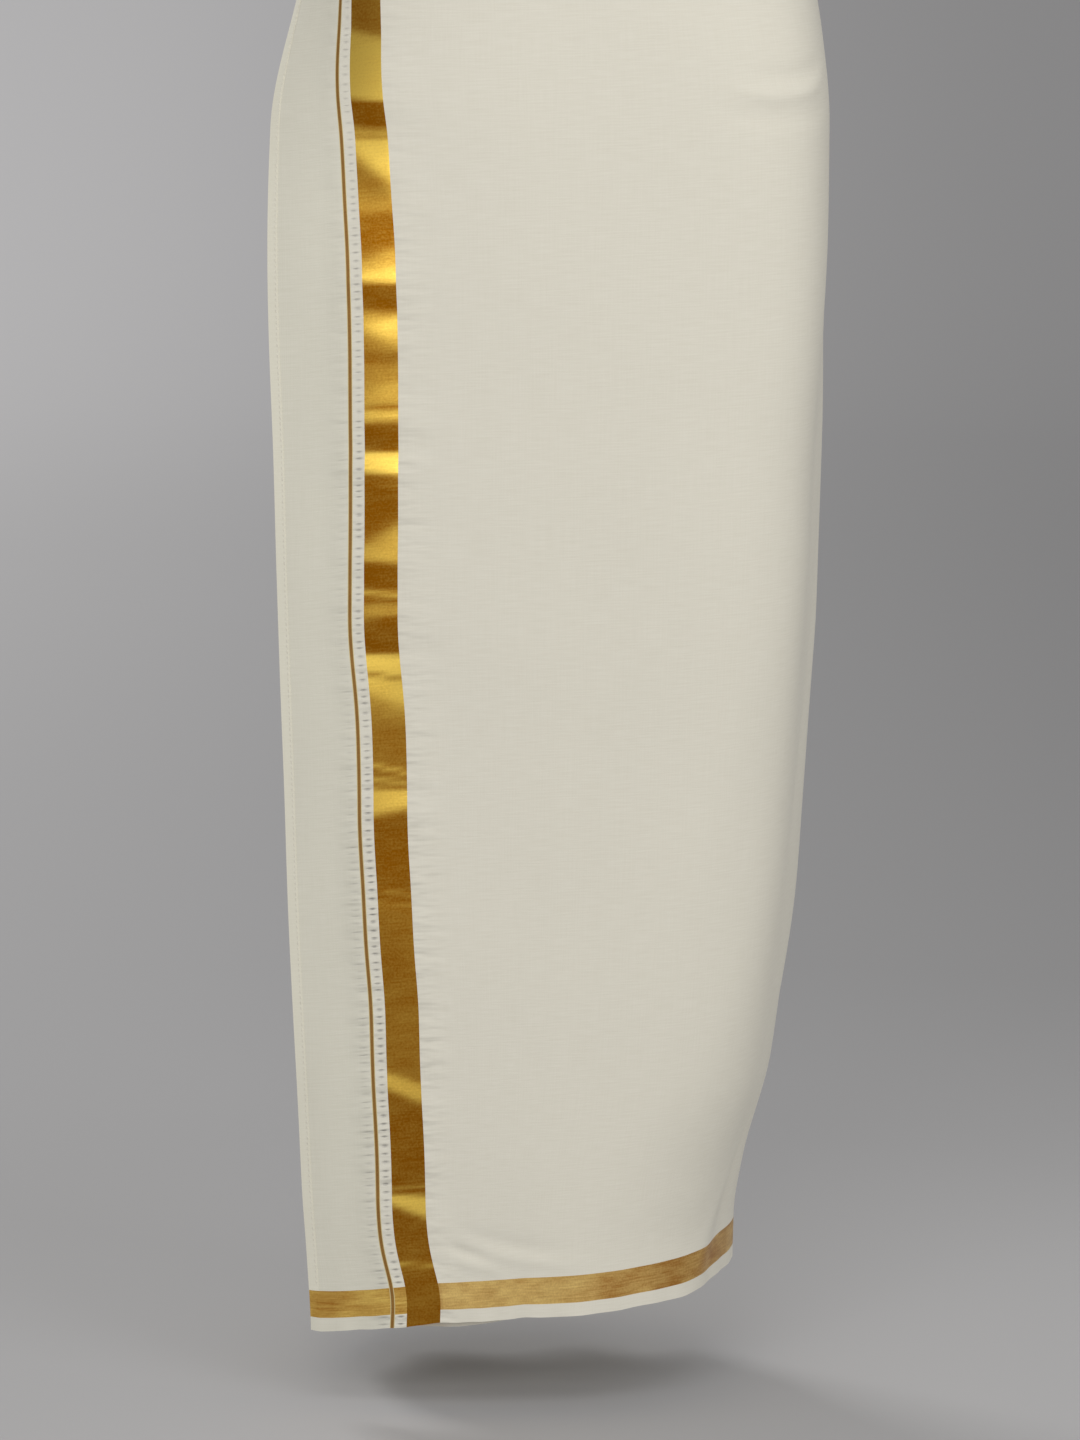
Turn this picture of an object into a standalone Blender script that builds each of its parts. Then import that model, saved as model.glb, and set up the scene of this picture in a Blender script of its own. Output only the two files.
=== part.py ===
"""A worn dhoti: one long cream cotton cloth with woven gold borders, wound twice round the waist.

Metres, +Z up. The front faces -Y and +X is to the right of someone who looks at the front.
The origin is the centre of the waist opening, level with the top of the rolled waist.

The cloth is wound as a flat spiral. Its outer end hangs as a flap over the front left.
A place along the winding is a turn, counted in quarter turns anticlockwise seen from above:
0 is the right side, 1 the middle of the back, 2 the left side and 3 the middle of the front.
The outer layer runs from 2 (the flap) over 3 to 4 (the right side), then 5 is the back again, and so on
inwards, so a larger turn lies further in.
"""

import math
from collections import namedtuple

import bpy
import numpy as np

# Cloth
WALL = 0.0012
SEAM = 0.0003

# Woven border along the hem, measured up from the lower edge
HEM_SELVEDGE = 0.009
HEM_BAND = 0.018

# Border across the cloth's outer end, measured from the end's free edge
END_HEM = 0.007
END_MARGIN = 0.0495
END_LINE = 0.003
END_GAP = 0.0078
END_BAND = 0.0220

# Rolled waist
ROLL_HEIGHT = 0.034
ROLL_THICKNESS = 0.012
ROLL_SIDES = 12
ROLL_STEPS = 48
WALL_TOP = -ROLL_HEIGHT - SEAM

# Grid of the wall. Every layer has its columns at the same quarter turns, so the layers lie parallel
ROWS = 24
QUARTER_COLUMNS = (14, 14, 9, 11)
FLAP_COLUMNS = 5
CORNER_CROWDING = 1.3
DENSE = 72
LEVELS = 110
LOWEST = -1.04

# Sections of the outer silhouette, from the waist down.
# left, right, front, back: where the tube reaches; side: the depth at which it is widest
# corner: how square the front right corner is; gap: between two layers, middle to middle
# flap_x, flap_y: the free edge; turn: how far the flap turns back there, in degrees
# hang: 0 where the flap hugs the body, 1 where it hangs free
Section = namedtuple(
    "Section", "z left right front back side corner gap flap_x flap_y turn hang"
)
SECTIONS = [
    Section(0.000, -0.144, 0.143, -0.102, 0.096, 0.000, 2.4, 0.0028, -0.160, -0.035, 70, 0.0),
    Section(-0.060, -0.150, 0.150, -0.110, 0.105, 0.000, 2.7, 0.0028, -0.166, -0.045, 62, 0.12),
    Section(-0.140, -0.162, 0.163, -0.120, 0.120, 0.000, 3.6, 0.0028, -0.180, -0.070, 46, 0.5),
    Section(-0.225, -0.170, 0.1716, -0.125, 0.128, 0.000, 4.8, 0.0030, -0.1915, -0.088, 30, 0.86),
    Section(-0.330, -0.171, 0.1696, -0.127, 0.127, 0.000, 4.8, 0.0032, -0.1905, -0.098, 22, 1.0),
    Section(-0.433, -0.170, 0.1670, -0.127, 0.120, 0.000, 4.2, 0.0038, -0.1875, -0.101, 20, 1.0),
    Section(-0.537, -0.167, 0.1638, -0.127, 0.114, 0.000, 3.8, 0.0045, -0.1850, -0.103, 20, 1.0),
    Section(-0.628, -0.164, 0.1585, -0.126, 0.110, 0.002, 3.4, 0.0052, -0.1825, -0.104, 20, 1.0),
    Section(-0.745, -0.160, 0.1506, -0.126, 0.105, 0.006, 3.0, 0.0060, -0.1790, -0.105, 20, 1.0),
    Section(-0.849, -0.156, 0.1369, -0.125, 0.102, 0.011, 2.7, 0.0070, -0.1745, -0.105, 21, 1.0),
    Section(-0.920, -0.154, 0.1180, -0.124, 0.100, 0.016, 2.4, 0.0078, -0.1715, -0.104, 22, 1.0),
    Section(-0.960, -0.153, 0.1118, -0.123, 0.099, 0.019, 2.3, 0.0083, -0.1690, -0.103, 23, 1.0),
    Section(-1.030, -0.152, 0.1105, -0.122, 0.098, 0.020, 2.3, 0.0090, -0.1660, -0.102, 24, 1.0),
]
LEFT_CORNER = 2.35
BACK_CORNER = 2.2
FLAP_HUG_END = 2.06

# Height of the lower edge along the winding
Hem = namedtuple("Hem", "turn z")
HEMS = [
    Hem(2.0, -1.012),
    Hem(2.6, -1.003),
    Hem(3.2, -0.997),
    Hem(4.0, -0.989),
    Hem(5.0, -0.990),
    Hem(6.0, -1.013),
    Hem(6.6, -1.010),
    Hem(7.2, -0.995),
    Hem(8.0, -0.984),
    Hem(11.0, -0.984),
]

# How far the end border strays along the cloth from its even distance to the free edge
Sway = namedtuple("Sway", "z shift")
SWAYS = [
    Sway(0.000, -0.0020),
    Sway(-0.225, 0.0010),
    Sway(-0.330, 0.0025),
    Sway(-0.433, 0.0020),
    Sway(-0.530, -0.0018),
    Sway(-0.590, -0.0036),
    Sway(-0.630, -0.0002),
    Sway(-0.700, 0.0000),
    Sway(-0.800, -0.0006),
    Sway(-0.960, 0.0008),
    Sway(-0.990, 0.0028),
    Sway(-1.030, 0.0058),
]

# Soft folds, as depth outwards (+) or inwards (-). at: quarter turn; width: in quarter turns
# top: where the fold starts; full: where it has its whole depth; end: its share left at the hem
# lean: how far it drifts, in quarter turns for each metre down
Fold = namedtuple("Fold", "at width depth top full end lean")
FOLDS = [
    Fold(3.10, 0.34, -0.0050, -0.42, -0.72, 0.6, 0.05),
    Fold(2.62, 0.26, 0.0030, -0.40, -0.80, 1.0, 0.00),
    Fold(3.80, 0.12, -0.0040, -0.30, -0.46, 0.6, -0.06),
    Fold(0.03, 0.12, 0.0040, -0.28, -0.48, 0.7, -0.05),
    Fold(0.27, 0.14, -0.0070, -0.34, -0.70, 1.1, 0.05),
    Fold(0.54, 0.15, 0.0090, -0.36, -0.82, 1.3, 0.06),
    Fold(0.80, 0.12, -0.0075, -0.46, -0.80, 1.2, 0.03),
    Fold(1.04, 0.14, 0.0105, -0.40, -0.86, 1.3, 0.00),
    Fold(1.34, 0.15, -0.0085, -0.44, -0.78, 1.1, -0.04),
    Fold(1.61, 0.13, 0.0080, -0.38, -0.84, 1.3, -0.05),
    Fold(1.87, 0.13, -0.0055, -0.42, -0.76, 1.0, -0.04),
    Fold(2.13, 0.14, 0.0060, -0.38, -0.78, 1.0, -0.02),
]
HEM_LEVEL = -1.0

# Marks along the cloth. Below 1: metres from the free edge. From 2 to 3: from the end border's inner side
# to the middle of the front. From 3 on: quarter turns
FLAP_MARK = 2.0
FRONT_MARK = 3.0
RIGHT_MARK = 4.0
BACK_MARK = 5.0
LEFT_MARK = 6.0
UNDER_MARK = 7.0
SECOND_RIGHT_MARK = 8.0
SECOND_BACK_MARK = 9.0
INNER_END_MARK = 9.75

# Panels. start, stop: marks along the cloth; low, high: up from the hem, TOP for the wall's own top
TOP = None
Panel = namedtuple("Panel", "name start stop low high finish")


def smooth_lookup(rows, column, at, key="z"):
    """Value of a table's column between its rows, on a smooth curve through them."""
    keys = [getattr(row, key) for row in rows]
    values = [getattr(row, column) for row in rows]
    if keys[0] > keys[-1]:
        keys.reverse()
        values.reverse()
    at = min(max(at, keys[0]), keys[-1])
    i = max(k for k in range(len(keys) - 1) if keys[k] <= at)
    span = keys[i + 1] - keys[i]
    share = (at - keys[i]) / span

    def slope(k):
        if k in (0, len(keys) - 1):
            return 0.0
        before = (values[k] - values[k - 1]) / (keys[k] - keys[k - 1])
        after = (values[k + 1] - values[k]) / (keys[k + 1] - keys[k])
        if before * after <= 0:
            return 0.0
        return 2 * before * after / (before + after)

    square, cube = share**2, share**3
    return (
        (2 * cube - 3 * square + 1) * values[i]
        + (cube - 2 * square + share) * span * slope(i)
        + (3 * square - 2 * cube) * values[i + 1]
        + (cube - square) * span * slope(i + 1)
    )


def section_at(z):
    """The section at a height, with every column read from the table."""
    return Section(z, *(smooth_lookup(SECTIONS, name, z) for name in Section._fields[1:]))


def ease(share):
    """A smooth step from 0 to 1."""
    share = min(max(share, 0.0), 1.0)
    return share * share * (3 - 2 * share)


def fold_depth(turns, z):
    """How far the folds push the cloth out at quarter turns and a height."""
    depth = np.zeros_like(turns)
    for fold in FOLDS:
        grown = ease((fold.top - z) / (fold.top - fold.full))
        below = ease((fold.full - z) / (fold.full - HEM_LEVEL))
        strength = grown * (1 + (fold.end - 1) * below)
        centre = fold.at + fold.lean * (fold.top - z)
        away = (turns - centre + 2) % 4 - 2
        depth += fold.depth * strength * np.exp(-((away / fold.width) ** 2))
    return depth


def lengths_along(points):
    """Length along a row of points, up to each of them."""
    steps = np.linalg.norm(np.diff(points, axis=0), axis=1)
    return np.concatenate([[0], np.cumsum(steps)])


class Outline:
    """The plan of the winding at one height."""

    def __init__(self, z):
        self.z = z
        self.section = section_at(z)
        s = self.section
        self.middle = ((s.left + s.right) / 2, s.side)
        self.quarters = [
            self._quarter(s.right, s.back, BACK_CORNER, False),
            self._quarter(s.left, s.back, BACK_CORNER, True),
            self._quarter(s.left, s.front, LEFT_CORNER, False),
            self._quarter(s.right, s.front, s.corner, True),
        ]

    def _quarter(self, reach_x, reach_y, corner, from_y):
        """Shares of length, points and outward normals along a quarter of the tube."""
        across = reach_x - self.middle[0]
        deep = reach_y - self.middle[1]
        angles = np.linspace(0, math.pi / 2, DENSE)
        cosine = np.cos(angles).clip(0) ** (2 / corner)
        sine = np.sin(angles) ** (2 / corner)
        cosine[-1] = 0.0
        points = np.stack([across * cosine, deep * sine], axis=1)
        normals = np.stack([cosine ** (corner - 1) / across, sine ** (corner - 1) / deep], axis=1)
        normals /= np.linalg.norm(normals, axis=1)[:, None]
        points += self.middle
        if from_y:
            points, normals = points[::-1], normals[::-1]
        along = lengths_along(points)
        return along / along[-1], points, normals

    def tube(self, turns):
        """Points and outward normals of the tube at quarter turns, before any fold."""
        points = np.empty((len(turns), 2))
        normals = np.empty((len(turns), 2))
        for quarter, (shares, places, outwards) in enumerate(self.quarters):
            chosen = np.floor(turns).astype(int) % 4 == quarter
            share = turns[chosen] % 1
            for k in (0, 1):
                points[chosen, k] = np.interp(share, shares, places[:, k])
                normals[chosen, k] = np.interp(share, shares, outwards[:, k])
        return points, normals / np.linalg.norm(normals, axis=1)[:, None]

    def wound(self, turns):
        """Points of the wound cloth: the tube with its folds and its place in the spiral."""
        points, normals = self.tube(turns)
        spiral = self.section.gap * (4 - turns) / 4
        return points + normals * (spiral + fold_depth(turns, self.z))[:, None]

    def flap(self):
        """Points of the outer layer from the free edge to the middle of the front."""
        s = self.section
        share = np.linspace(1, 0, DENSE)[:, None]
        hug = self.wound(FRONT_MARK - share[:, 0] * (FRONT_MARK - FLAP_HUG_END))
        start, end = hug[-1], np.array([s.flap_x, s.flap_y])
        reach = np.linalg.norm(end - start)
        leave = np.array([-1.0, 0.0]) * reach
        arrive = np.array([-math.cos(math.radians(s.turn)), math.sin(math.radians(s.turn))]) * reach
        square, cube = share**2, share**3
        free = (
            (2 * cube - 3 * square + 1) * start
            + (cube - 2 * square + share) * leave
            + (3 * square - 2 * cube) * end
            + (cube - square) * arrive
        )
        return hug + (free - hug) * s.hang


class Winding:
    """The wound cloth: where a place along it lies at each height."""

    def __init__(self):
        self.heights = np.linspace(0, LOWEST, LEVELS)
        wound_turns = np.arange(FRONT_MARK, INNER_END_MARK + 0.1, 1 / DENSE)[1:]
        flap_turns = np.linspace(FRONT_MARK - 1, FRONT_MARK, DENSE)
        self.turns = np.concatenate([flap_turns, wound_turns])
        levels = []
        for z in self.heights:
            outline = Outline(z)
            levels.append(np.concatenate([outline.flap(), outline.wound(wound_turns)]))
        self.points = np.array(levels)
        self.lengths = np.array([lengths_along(points) for points in levels])

    def _level(self, z):
        """Lengths and points of the winding at a height."""
        place = min(max(z / LOWEST, 0.0), 1.0) * (LEVELS - 1)
        i = min(int(place), LEVELS - 2)
        share = place - i
        lengths = self.lengths[i] + share * (self.lengths[i + 1] - self.lengths[i])
        return lengths, self.points[i] + share * (self.points[i + 1] - self.points[i])

    def point(self, z, length):
        """Point of the cloth's middle at a height and a length from the free edge."""
        lengths, points = self._level(z)
        return [float(np.interp(length, lengths, points[:, k])) for k in (0, 1)] + [z]

    def turn(self, z, length):
        """Quarter turn at a height and a length from the free edge."""
        return float(np.interp(length, self._level(z)[0], self.turns))

    def length(self, z, mark):
        """Length from the free edge to a mark."""
        border = BAND_STOP + smooth_lookup(SWAYS, "shift", z)
        if mark <= END_HEM:
            return mark
        if mark < 1:
            return mark - BAND_STOP + border
        if mark >= FRONT_MARK:
            return float(np.interp(mark, self.turns, self._level(z)[0]))
        return border + (mark - FLAP_MARK) * (self.length(z, FRONT_MARK) - border)


LINE_START = END_MARGIN
GAP_START = LINE_START + END_LINE
BAND_START = GAP_START + END_GAP
BAND_STOP = BAND_START + END_BAND
BAND_LOW = HEM_SELVEDGE
BAND_HIGH = HEM_SELVEDGE + HEM_BAND
WINDING = Winding()


def column_marks(panel):
    """Marks of a panel's columns, closer together towards the front right corner."""
    if panel.stop < 1:
        middle = [(panel.start + panel.stop) / 2] if panel.stop - panel.start > END_BAND else []
        return [panel.start, *middle, panel.stop]
    marks = []
    if panel.start < FRONT_MARK:
        marks += [FLAP_MARK + k / FLAP_COLUMNS for k in range(FLAP_COLUMNS)]
    first = max(panel.start, FRONT_MARK)
    for turn in range(int(first), math.ceil(panel.stop)):
        quarter = turn % 4
        columns = QUARTER_COLUMNS[quarter]
        crowding = CORNER_CROWDING if quarter == 3 else 1.0
        marks += [turn + 1 - (1 - k / columns) ** crowding for k in range(columns)]
    return [mark for mark in marks if mark < panel.stop - 1e-6] + [panel.stop]


def row_heights(panel, hem):
    """Heights of a panel's rows over a hem height. Panels that meet share their rows."""
    high = hem + BAND_HIGH
    upper = [high + share * (WALL_TOP - high) for share in np.linspace(0, 1, ROWS + 1)]
    if panel.high is not TOP:
        rows = [hem + panel.low, hem + panel.high]
        rows[1] -= SEAM / 2
    elif panel.low > 0:
        rows = upper
    else:
        rows = [hem, hem + BAND_LOW, *upper]
    if panel.low > 0:
        rows[0] += SEAM / 2
    return rows


def panel_points(panel):
    """Grid of a panel's middle surface: a column of points for each mark."""
    marks = column_marks(panel)
    grid = []
    for mark in marks:
        inset = 0.0
        if mark == marks[0] and mark > 0:
            inset = SEAM / 2
        if mark == marks[-1] and mark != INNER_END_MARK:
            inset = -SEAM / 2
        hem_turn = WINDING.turn(HEM_LEVEL, WINDING.length(HEM_LEVEL, mark))
        hem = smooth_lookup(HEMS, "z", hem_turn, key="turn")
        heights = row_heights(panel, hem)
        grid.append([WINDING.point(z, WINDING.length(z, mark) + inset) for z in heights])
    return grid


def finish_material(name, colour, roughness, metallic):
    """A Principled material of one finish."""
    material = bpy.data.materials.new(name)
    material.use_nodes = True
    shader = material.node_tree.nodes["Principled BSDF"]
    shader.inputs["Base Color"].default_value = (*colour, 1)
    shader.inputs["Roughness"].default_value = roughness
    shader.inputs["Metallic"].default_value = metallic
    material.diffuse_color = (*colour, 1)
    return material


def add_object(name, points, faces, material):
    """A named, smooth object from points and faces."""
    mesh = bpy.data.meshes.new(name)
    mesh.from_pydata(points, [], faces)
    mesh.materials.append(material)
    mesh.shade_smooth()
    made = bpy.data.objects.new(name, mesh)
    bpy.context.scene.collection.objects.link(made)
    return made


def cloth_panel(panel, finishes):
    """A panel of the wall: its middle surface, given the cloth's thickness."""
    grid = panel_points(panel)
    tall = len(grid[0])
    points = [point for column in grid for point in column]
    faces = [
        (j * tall + i, (j + 1) * tall + i, (j + 1) * tall + i + 1, j * tall + i + 1)
        for j in range(len(grid) - 1)
        for i in range(tall - 1)
    ]
    made = add_object(panel.name, points, faces, finishes[panel.finish])
    thick = made.modifiers.new("Thickness", "SOLIDIFY")
    thick.thickness = WALL
    thick.offset = 0
    thick.use_even_offset = True


def waist_roll(finishes):
    """The cloth's top, rolled round the waist: an oval bead that follows the tube."""
    turns = np.arange(ROLL_STEPS) * 4 / ROLL_STEPS
    centres, normals = Outline(WALL_TOP).tube(turns)
    straight = (ROLL_HEIGHT - ROLL_THICKNESS) / 2
    points = []
    for centre, normal in zip(centres, normals):
        for side in range(ROLL_SIDES):
            angle = 2 * math.pi * (side + 0.5) / ROLL_SIDES
            out = ROLL_THICKNESS / 2 * math.cos(angle)
            up = ROLL_THICKNESS / 2 * math.sin(angle) + math.copysign(straight, math.sin(angle))
            points.append((*(centre + normal * out), up - ROLL_HEIGHT / 2))
    faces = []
    for step in range(ROLL_STEPS):
        near, far = step * ROLL_SIDES, (step + 1) % ROLL_STEPS * ROLL_SIDES
        for side in range(ROLL_SIDES):
            after = (side + 1) % ROLL_SIDES
            faces.append((near + side, far + side, far + after, near + after))
    add_object("waist_roll", points, faces, finishes["cream"])


PANELS = [
    Panel("end_hem", 0.0, END_HEM, BAND_HIGH, TOP, "cream"),
    Panel("end_margin", END_HEM, LINE_START, BAND_HIGH, TOP, "cream"),
    Panel("end_line", LINE_START, GAP_START, 0.0, TOP, "line"),
    Panel("end_gap", GAP_START, BAND_START, BAND_HIGH, TOP, "cream"),
    Panel("end_band", BAND_START, BAND_STOP, 0.0, TOP, "gold"),
    Panel("front_wrap", FLAP_MARK, RIGHT_MARK, BAND_HIGH, TOP, "cream"),
    Panel("back_wrap_right", RIGHT_MARK, BACK_MARK, BAND_HIGH, TOP, "cream"),
    Panel("back_wrap_left", BACK_MARK, LEFT_MARK, BAND_HIGH, TOP, "cream"),
    Panel("under_wrap_left", LEFT_MARK, UNDER_MARK, BAND_HIGH, TOP, "cream"),
    Panel("under_wrap_right", UNDER_MARK, SECOND_RIGHT_MARK, BAND_HIGH, TOP, "cream"),
    Panel("inner_wrap_right", SECOND_RIGHT_MARK, SECOND_BACK_MARK, BAND_HIGH, TOP, "cream"),
    Panel("inner_wrap_left", SECOND_BACK_MARK, INNER_END_MARK, BAND_HIGH, TOP, "cream"),
    Panel("hem_band_margin", 0.0, LINE_START, BAND_LOW, BAND_HIGH, "gold"),
    Panel("hem_band_gap", GAP_START, BAND_START, BAND_LOW, BAND_HIGH, "gold"),
    Panel("hem_band_front", FLAP_MARK, RIGHT_MARK, BAND_LOW, BAND_HIGH, "gold"),
    Panel("hem_band_back", RIGHT_MARK, LEFT_MARK, BAND_LOW, BAND_HIGH, "gold"),
    Panel("hem_band_under", LEFT_MARK, SECOND_RIGHT_MARK, BAND_LOW, BAND_HIGH, "gold"),
    Panel("hem_band_inner", SECOND_RIGHT_MARK, INNER_END_MARK, BAND_LOW, BAND_HIGH, "gold"),
    Panel("selvedge_margin", 0.0, LINE_START, 0.0, BAND_LOW, "cream"),
    Panel("selvedge_gap", GAP_START, BAND_START, 0.0, BAND_LOW, "cream"),
    Panel("selvedge_front", FLAP_MARK, RIGHT_MARK, 0.0, BAND_LOW, "cream"),
    Panel("selvedge_back", RIGHT_MARK, LEFT_MARK, 0.0, BAND_LOW, "cream"),
    Panel("selvedge_under", LEFT_MARK, SECOND_RIGHT_MARK, 0.0, BAND_LOW, "cream"),
    Panel("selvedge_inner", SECOND_RIGHT_MARK, INNER_END_MARK, 0.0, BAND_LOW, "cream"),
]


def main():
    """Builds every piece of the dhoti."""
    for old in list(bpy.data.objects):
        bpy.data.objects.remove(old)
    finishes = {
        "cream": finish_material("Cream cotton", (0.72, 0.67, 0.56), 0.85, 0.0),
        "gold": finish_material("Gold zari", (0.55, 0.33, 0.05), 0.38, 0.7),
        "line": finish_material("Bronze line", (0.33, 0.17, 0.04), 0.5, 0.4),
    }
    for panel in PANELS:
        cloth_panel(panel, finishes)
    waist_roll(finishes)


main()
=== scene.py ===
"""The looks of a worn dhoti: cream cotton with gold woven borders, wound twice round an empty waist.

Metres, +Z up. The front faces -Y, and +X is to the right of someone who looks at the front.
The origin is the centre of the waist opening, level with the top of the rolled waist.

A mark is a place along the cloth. Below 1 it is a length in metres from the outer end's free edge. From 2
to 3 it runs from the inner side of the end border to the middle of the front. From 3 on it counts quarter
turns: 4 is the right side, 5 the middle of the back, 6 the left side, 7 the front again under the outer
layer, and so on inwards.
"""

from __future__ import annotations

import logging
import math
from dataclasses import dataclass, field
from enum import Enum
from typing import NamedTuple

import bpy
import numpy as np
from bpy.types import ID, Material, Node, NodeSocket, NodeTree, Object
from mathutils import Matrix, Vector

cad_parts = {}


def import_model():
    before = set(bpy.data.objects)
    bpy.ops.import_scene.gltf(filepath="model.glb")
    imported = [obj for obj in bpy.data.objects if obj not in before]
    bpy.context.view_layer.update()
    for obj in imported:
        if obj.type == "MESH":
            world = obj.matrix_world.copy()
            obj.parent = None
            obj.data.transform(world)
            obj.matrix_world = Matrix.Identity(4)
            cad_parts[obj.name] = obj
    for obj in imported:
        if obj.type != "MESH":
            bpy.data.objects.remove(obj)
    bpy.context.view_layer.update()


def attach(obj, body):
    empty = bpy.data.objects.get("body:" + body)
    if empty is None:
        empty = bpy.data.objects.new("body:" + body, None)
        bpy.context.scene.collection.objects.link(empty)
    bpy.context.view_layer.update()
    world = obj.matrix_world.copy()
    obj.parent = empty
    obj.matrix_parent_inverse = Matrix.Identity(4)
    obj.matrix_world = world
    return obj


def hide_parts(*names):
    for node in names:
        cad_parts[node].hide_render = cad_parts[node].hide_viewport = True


LOG = logging.getLogger("dhoti")
BODY = "root"
UV_NAME = "cloth"
GLINT_NAME = "glint"
Array = np.ndarray
Colour = tuple[float, float, float, float]
Inputs = dict[str | int, object]

# The woven hem, measured up from the lower edge
HEM_SELVEDGE = 0.009
HEM_BAND = 0.018
BAND_HIGH = HEM_SELVEDGE + HEM_BAND

# The border across the cloth's outer end, measured from its free edge
END_HEM = 0.007
LINE_START = 0.0495
GAP_START = LINE_START + 0.003
BAND_START = GAP_START + 0.0078
BAND_STOP = BAND_START + 0.0220

# The rolled waist, and where its UV map starts
ROLL_HEIGHT = 0.034
ROLL_THICKNESS = 0.012
ROLL_PLACE = 1.0

# Marks along the cloth
FLAP_MARK = 2.0
FRONT_MARK = 3.0
RIGHT_MARK = 4.0
LEFT_MARK = 6.0
SECOND_RIGHT_MARK = 8.0
INNER_END_MARK = 9.75

# The winding's layout: a quarter turn's usual length, the levels that are read, and how fine it is
QUARTER = 0.235
HEM_LEVEL = -1.0
MIDDLE_LEVEL = -0.5
LOWEST = -1.04
LEVELS = 261
DENSE = 144
SWAY_REACH = 8
SPARE_TURNS = 0.2


class Slot(Enum):
    """The record's material slots."""

    CREAM = "cream_cotton"
    GOLD = "gold_zari"
    BRONZE = "bronze_thread"


class Reach(Enum):
    """Which of the selvedge, the band and the wall a strip covers, as counts from the lower edge."""

    SELVEDGE = (0, 1)
    BAND = (1, 2)
    WALL = (2, 3)
    WHOLE = (0, 3)


class Section(NamedTuple):
    """Outer silhouette at a height.

    left, right, front and back are where the tube reaches, side is the depth at which it is widest, and
    corner is how square its front right corner is. gap is the distance between two layers. flap_x, flap_y and
    turn place the free edge, and hang is 0 where the flap hugs the body and 1 where it hangs free.
    """

    z: float
    left: float
    right: float
    front: float
    back: float
    side: float
    corner: float
    gap: float
    flap_x: float
    flap_y: float
    turn: float
    hang: float


SECTIONS = [
    Section(*row)
    for row in (
        (0.0, -0.144, 0.143, -0.102, 0.096, 0.0, 2.4, 0.0028, -0.16, -0.035, 70, 0.0),
        (-0.06, -0.15, 0.15, -0.11, 0.105, 0.0, 2.7, 0.0028, -0.166, -0.045, 62, 0.12),
        (-0.14, -0.162, 0.163, -0.12, 0.12, 0.0, 3.6, 0.0028, -0.18, -0.07, 46, 0.5),
        (-0.225, -0.17, 0.1716, -0.125, 0.128, 0.0, 4.8, 0.003, -0.1915, -0.088, 30, 0.86),
        (-0.33, -0.171, 0.1696, -0.127, 0.127, 0.0, 4.8, 0.0032, -0.1905, -0.098, 22, 1.0),
        (-0.433, -0.17, 0.167, -0.127, 0.12, 0.0, 4.2, 0.0038, -0.1875, -0.101, 20, 1.0),
        (-0.537, -0.167, 0.1638, -0.127, 0.114, 0.0, 3.8, 0.0045, -0.185, -0.103, 20, 1.0),
        (-0.628, -0.164, 0.1585, -0.126, 0.11, 0.002, 3.4, 0.0052, -0.1825, -0.104, 20, 1.0),
        (-0.745, -0.16, 0.1506, -0.126, 0.105, 0.006, 3.0, 0.006, -0.179, -0.105, 20, 1.0),
        (-0.849, -0.156, 0.1369, -0.125, 0.102, 0.011, 2.7, 0.007, -0.1745, -0.105, 21, 1.0),
        (-0.92, -0.154, 0.118, -0.124, 0.1, 0.016, 2.4, 0.0078, -0.1715, -0.104, 22, 1.0),
        (-0.96, -0.153, 0.1118, -0.123, 0.099, 0.019, 2.3, 0.0083, -0.169, -0.103, 23, 1.0),
        (-1.03, -0.152, 0.1105, -0.122, 0.098, 0.02, 2.3, 0.009, -0.166, -0.102, 24, 1.0),
    )
]
LEFT_CORNER = 2.35
BACK_CORNER = 2.2
FLAP_HUG_END = 2.06


class Knot(NamedTuple):
    """A value that a curve passes through."""

    at: float
    value: float


# Heights of the lower edge at quarter turns
HEMS = [
    Knot(*row)
    for row in (
        (2.0, -1.012), (2.6, -1.003), (3.2, -0.997), (4.0, -0.989), (5.0, -0.99), (6.0, -1.013), (6.6, -1.01),
        (7.2, -0.995), (8.0, -0.984), (11.0, -0.984),
    )
]

# How far the end border strays along the cloth, at heights
SWAYS = [
    Knot(*row)
    for row in (
        (0.0, -0.002), (-0.15, -0.0018), (-0.192, -0.0015), (-0.218, 0.0016), (-0.244, 0.0025),
        (-0.27, 0.0028), (-0.296, 0.0038), (-0.347, 0.004), (-0.399, 0.0024), (-0.463, 0.0002),
        (-0.53, -0.0022), (-0.554, -0.0029), (-0.58, -0.0008), (-0.606, 0.0004), (-0.645, 0.0),
        (-0.683, -0.0008), (-0.709, 0.0001), (-0.761, 0.0008), (-0.787, 0.0021), (-0.838, 0.001),
        (-0.89, 0.0015), (-0.935, 0.0003), (-0.962, 0.0014), (-0.979, 0.0078), (-0.992, 0.0072),
        (-1.008, 0.004), (-1.03, 0.005),
    )
]

# Painted highlight and painted shade on the hem's gold, at lengths along the cloth, on the glints' scale
SHADES = [
    Knot(*row)
    for row in (
        (0.0, 0.2), (0.06, 0.5), (0.11, 0.3), (0.17, 0.5), (0.215, 0.1), (0.25, -0.5), (0.29, -0.8),
        (0.38, -0.8), (0.43, -0.2), (0.6, 0.1),
    )
]


class Fold(NamedTuple):
    """A soft upright fold: depth outwards, from its top to its full depth, and its share left at the hem."""

    at: float
    width: float
    depth: float
    top: float
    full: float
    end: float
    lean: float


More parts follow.
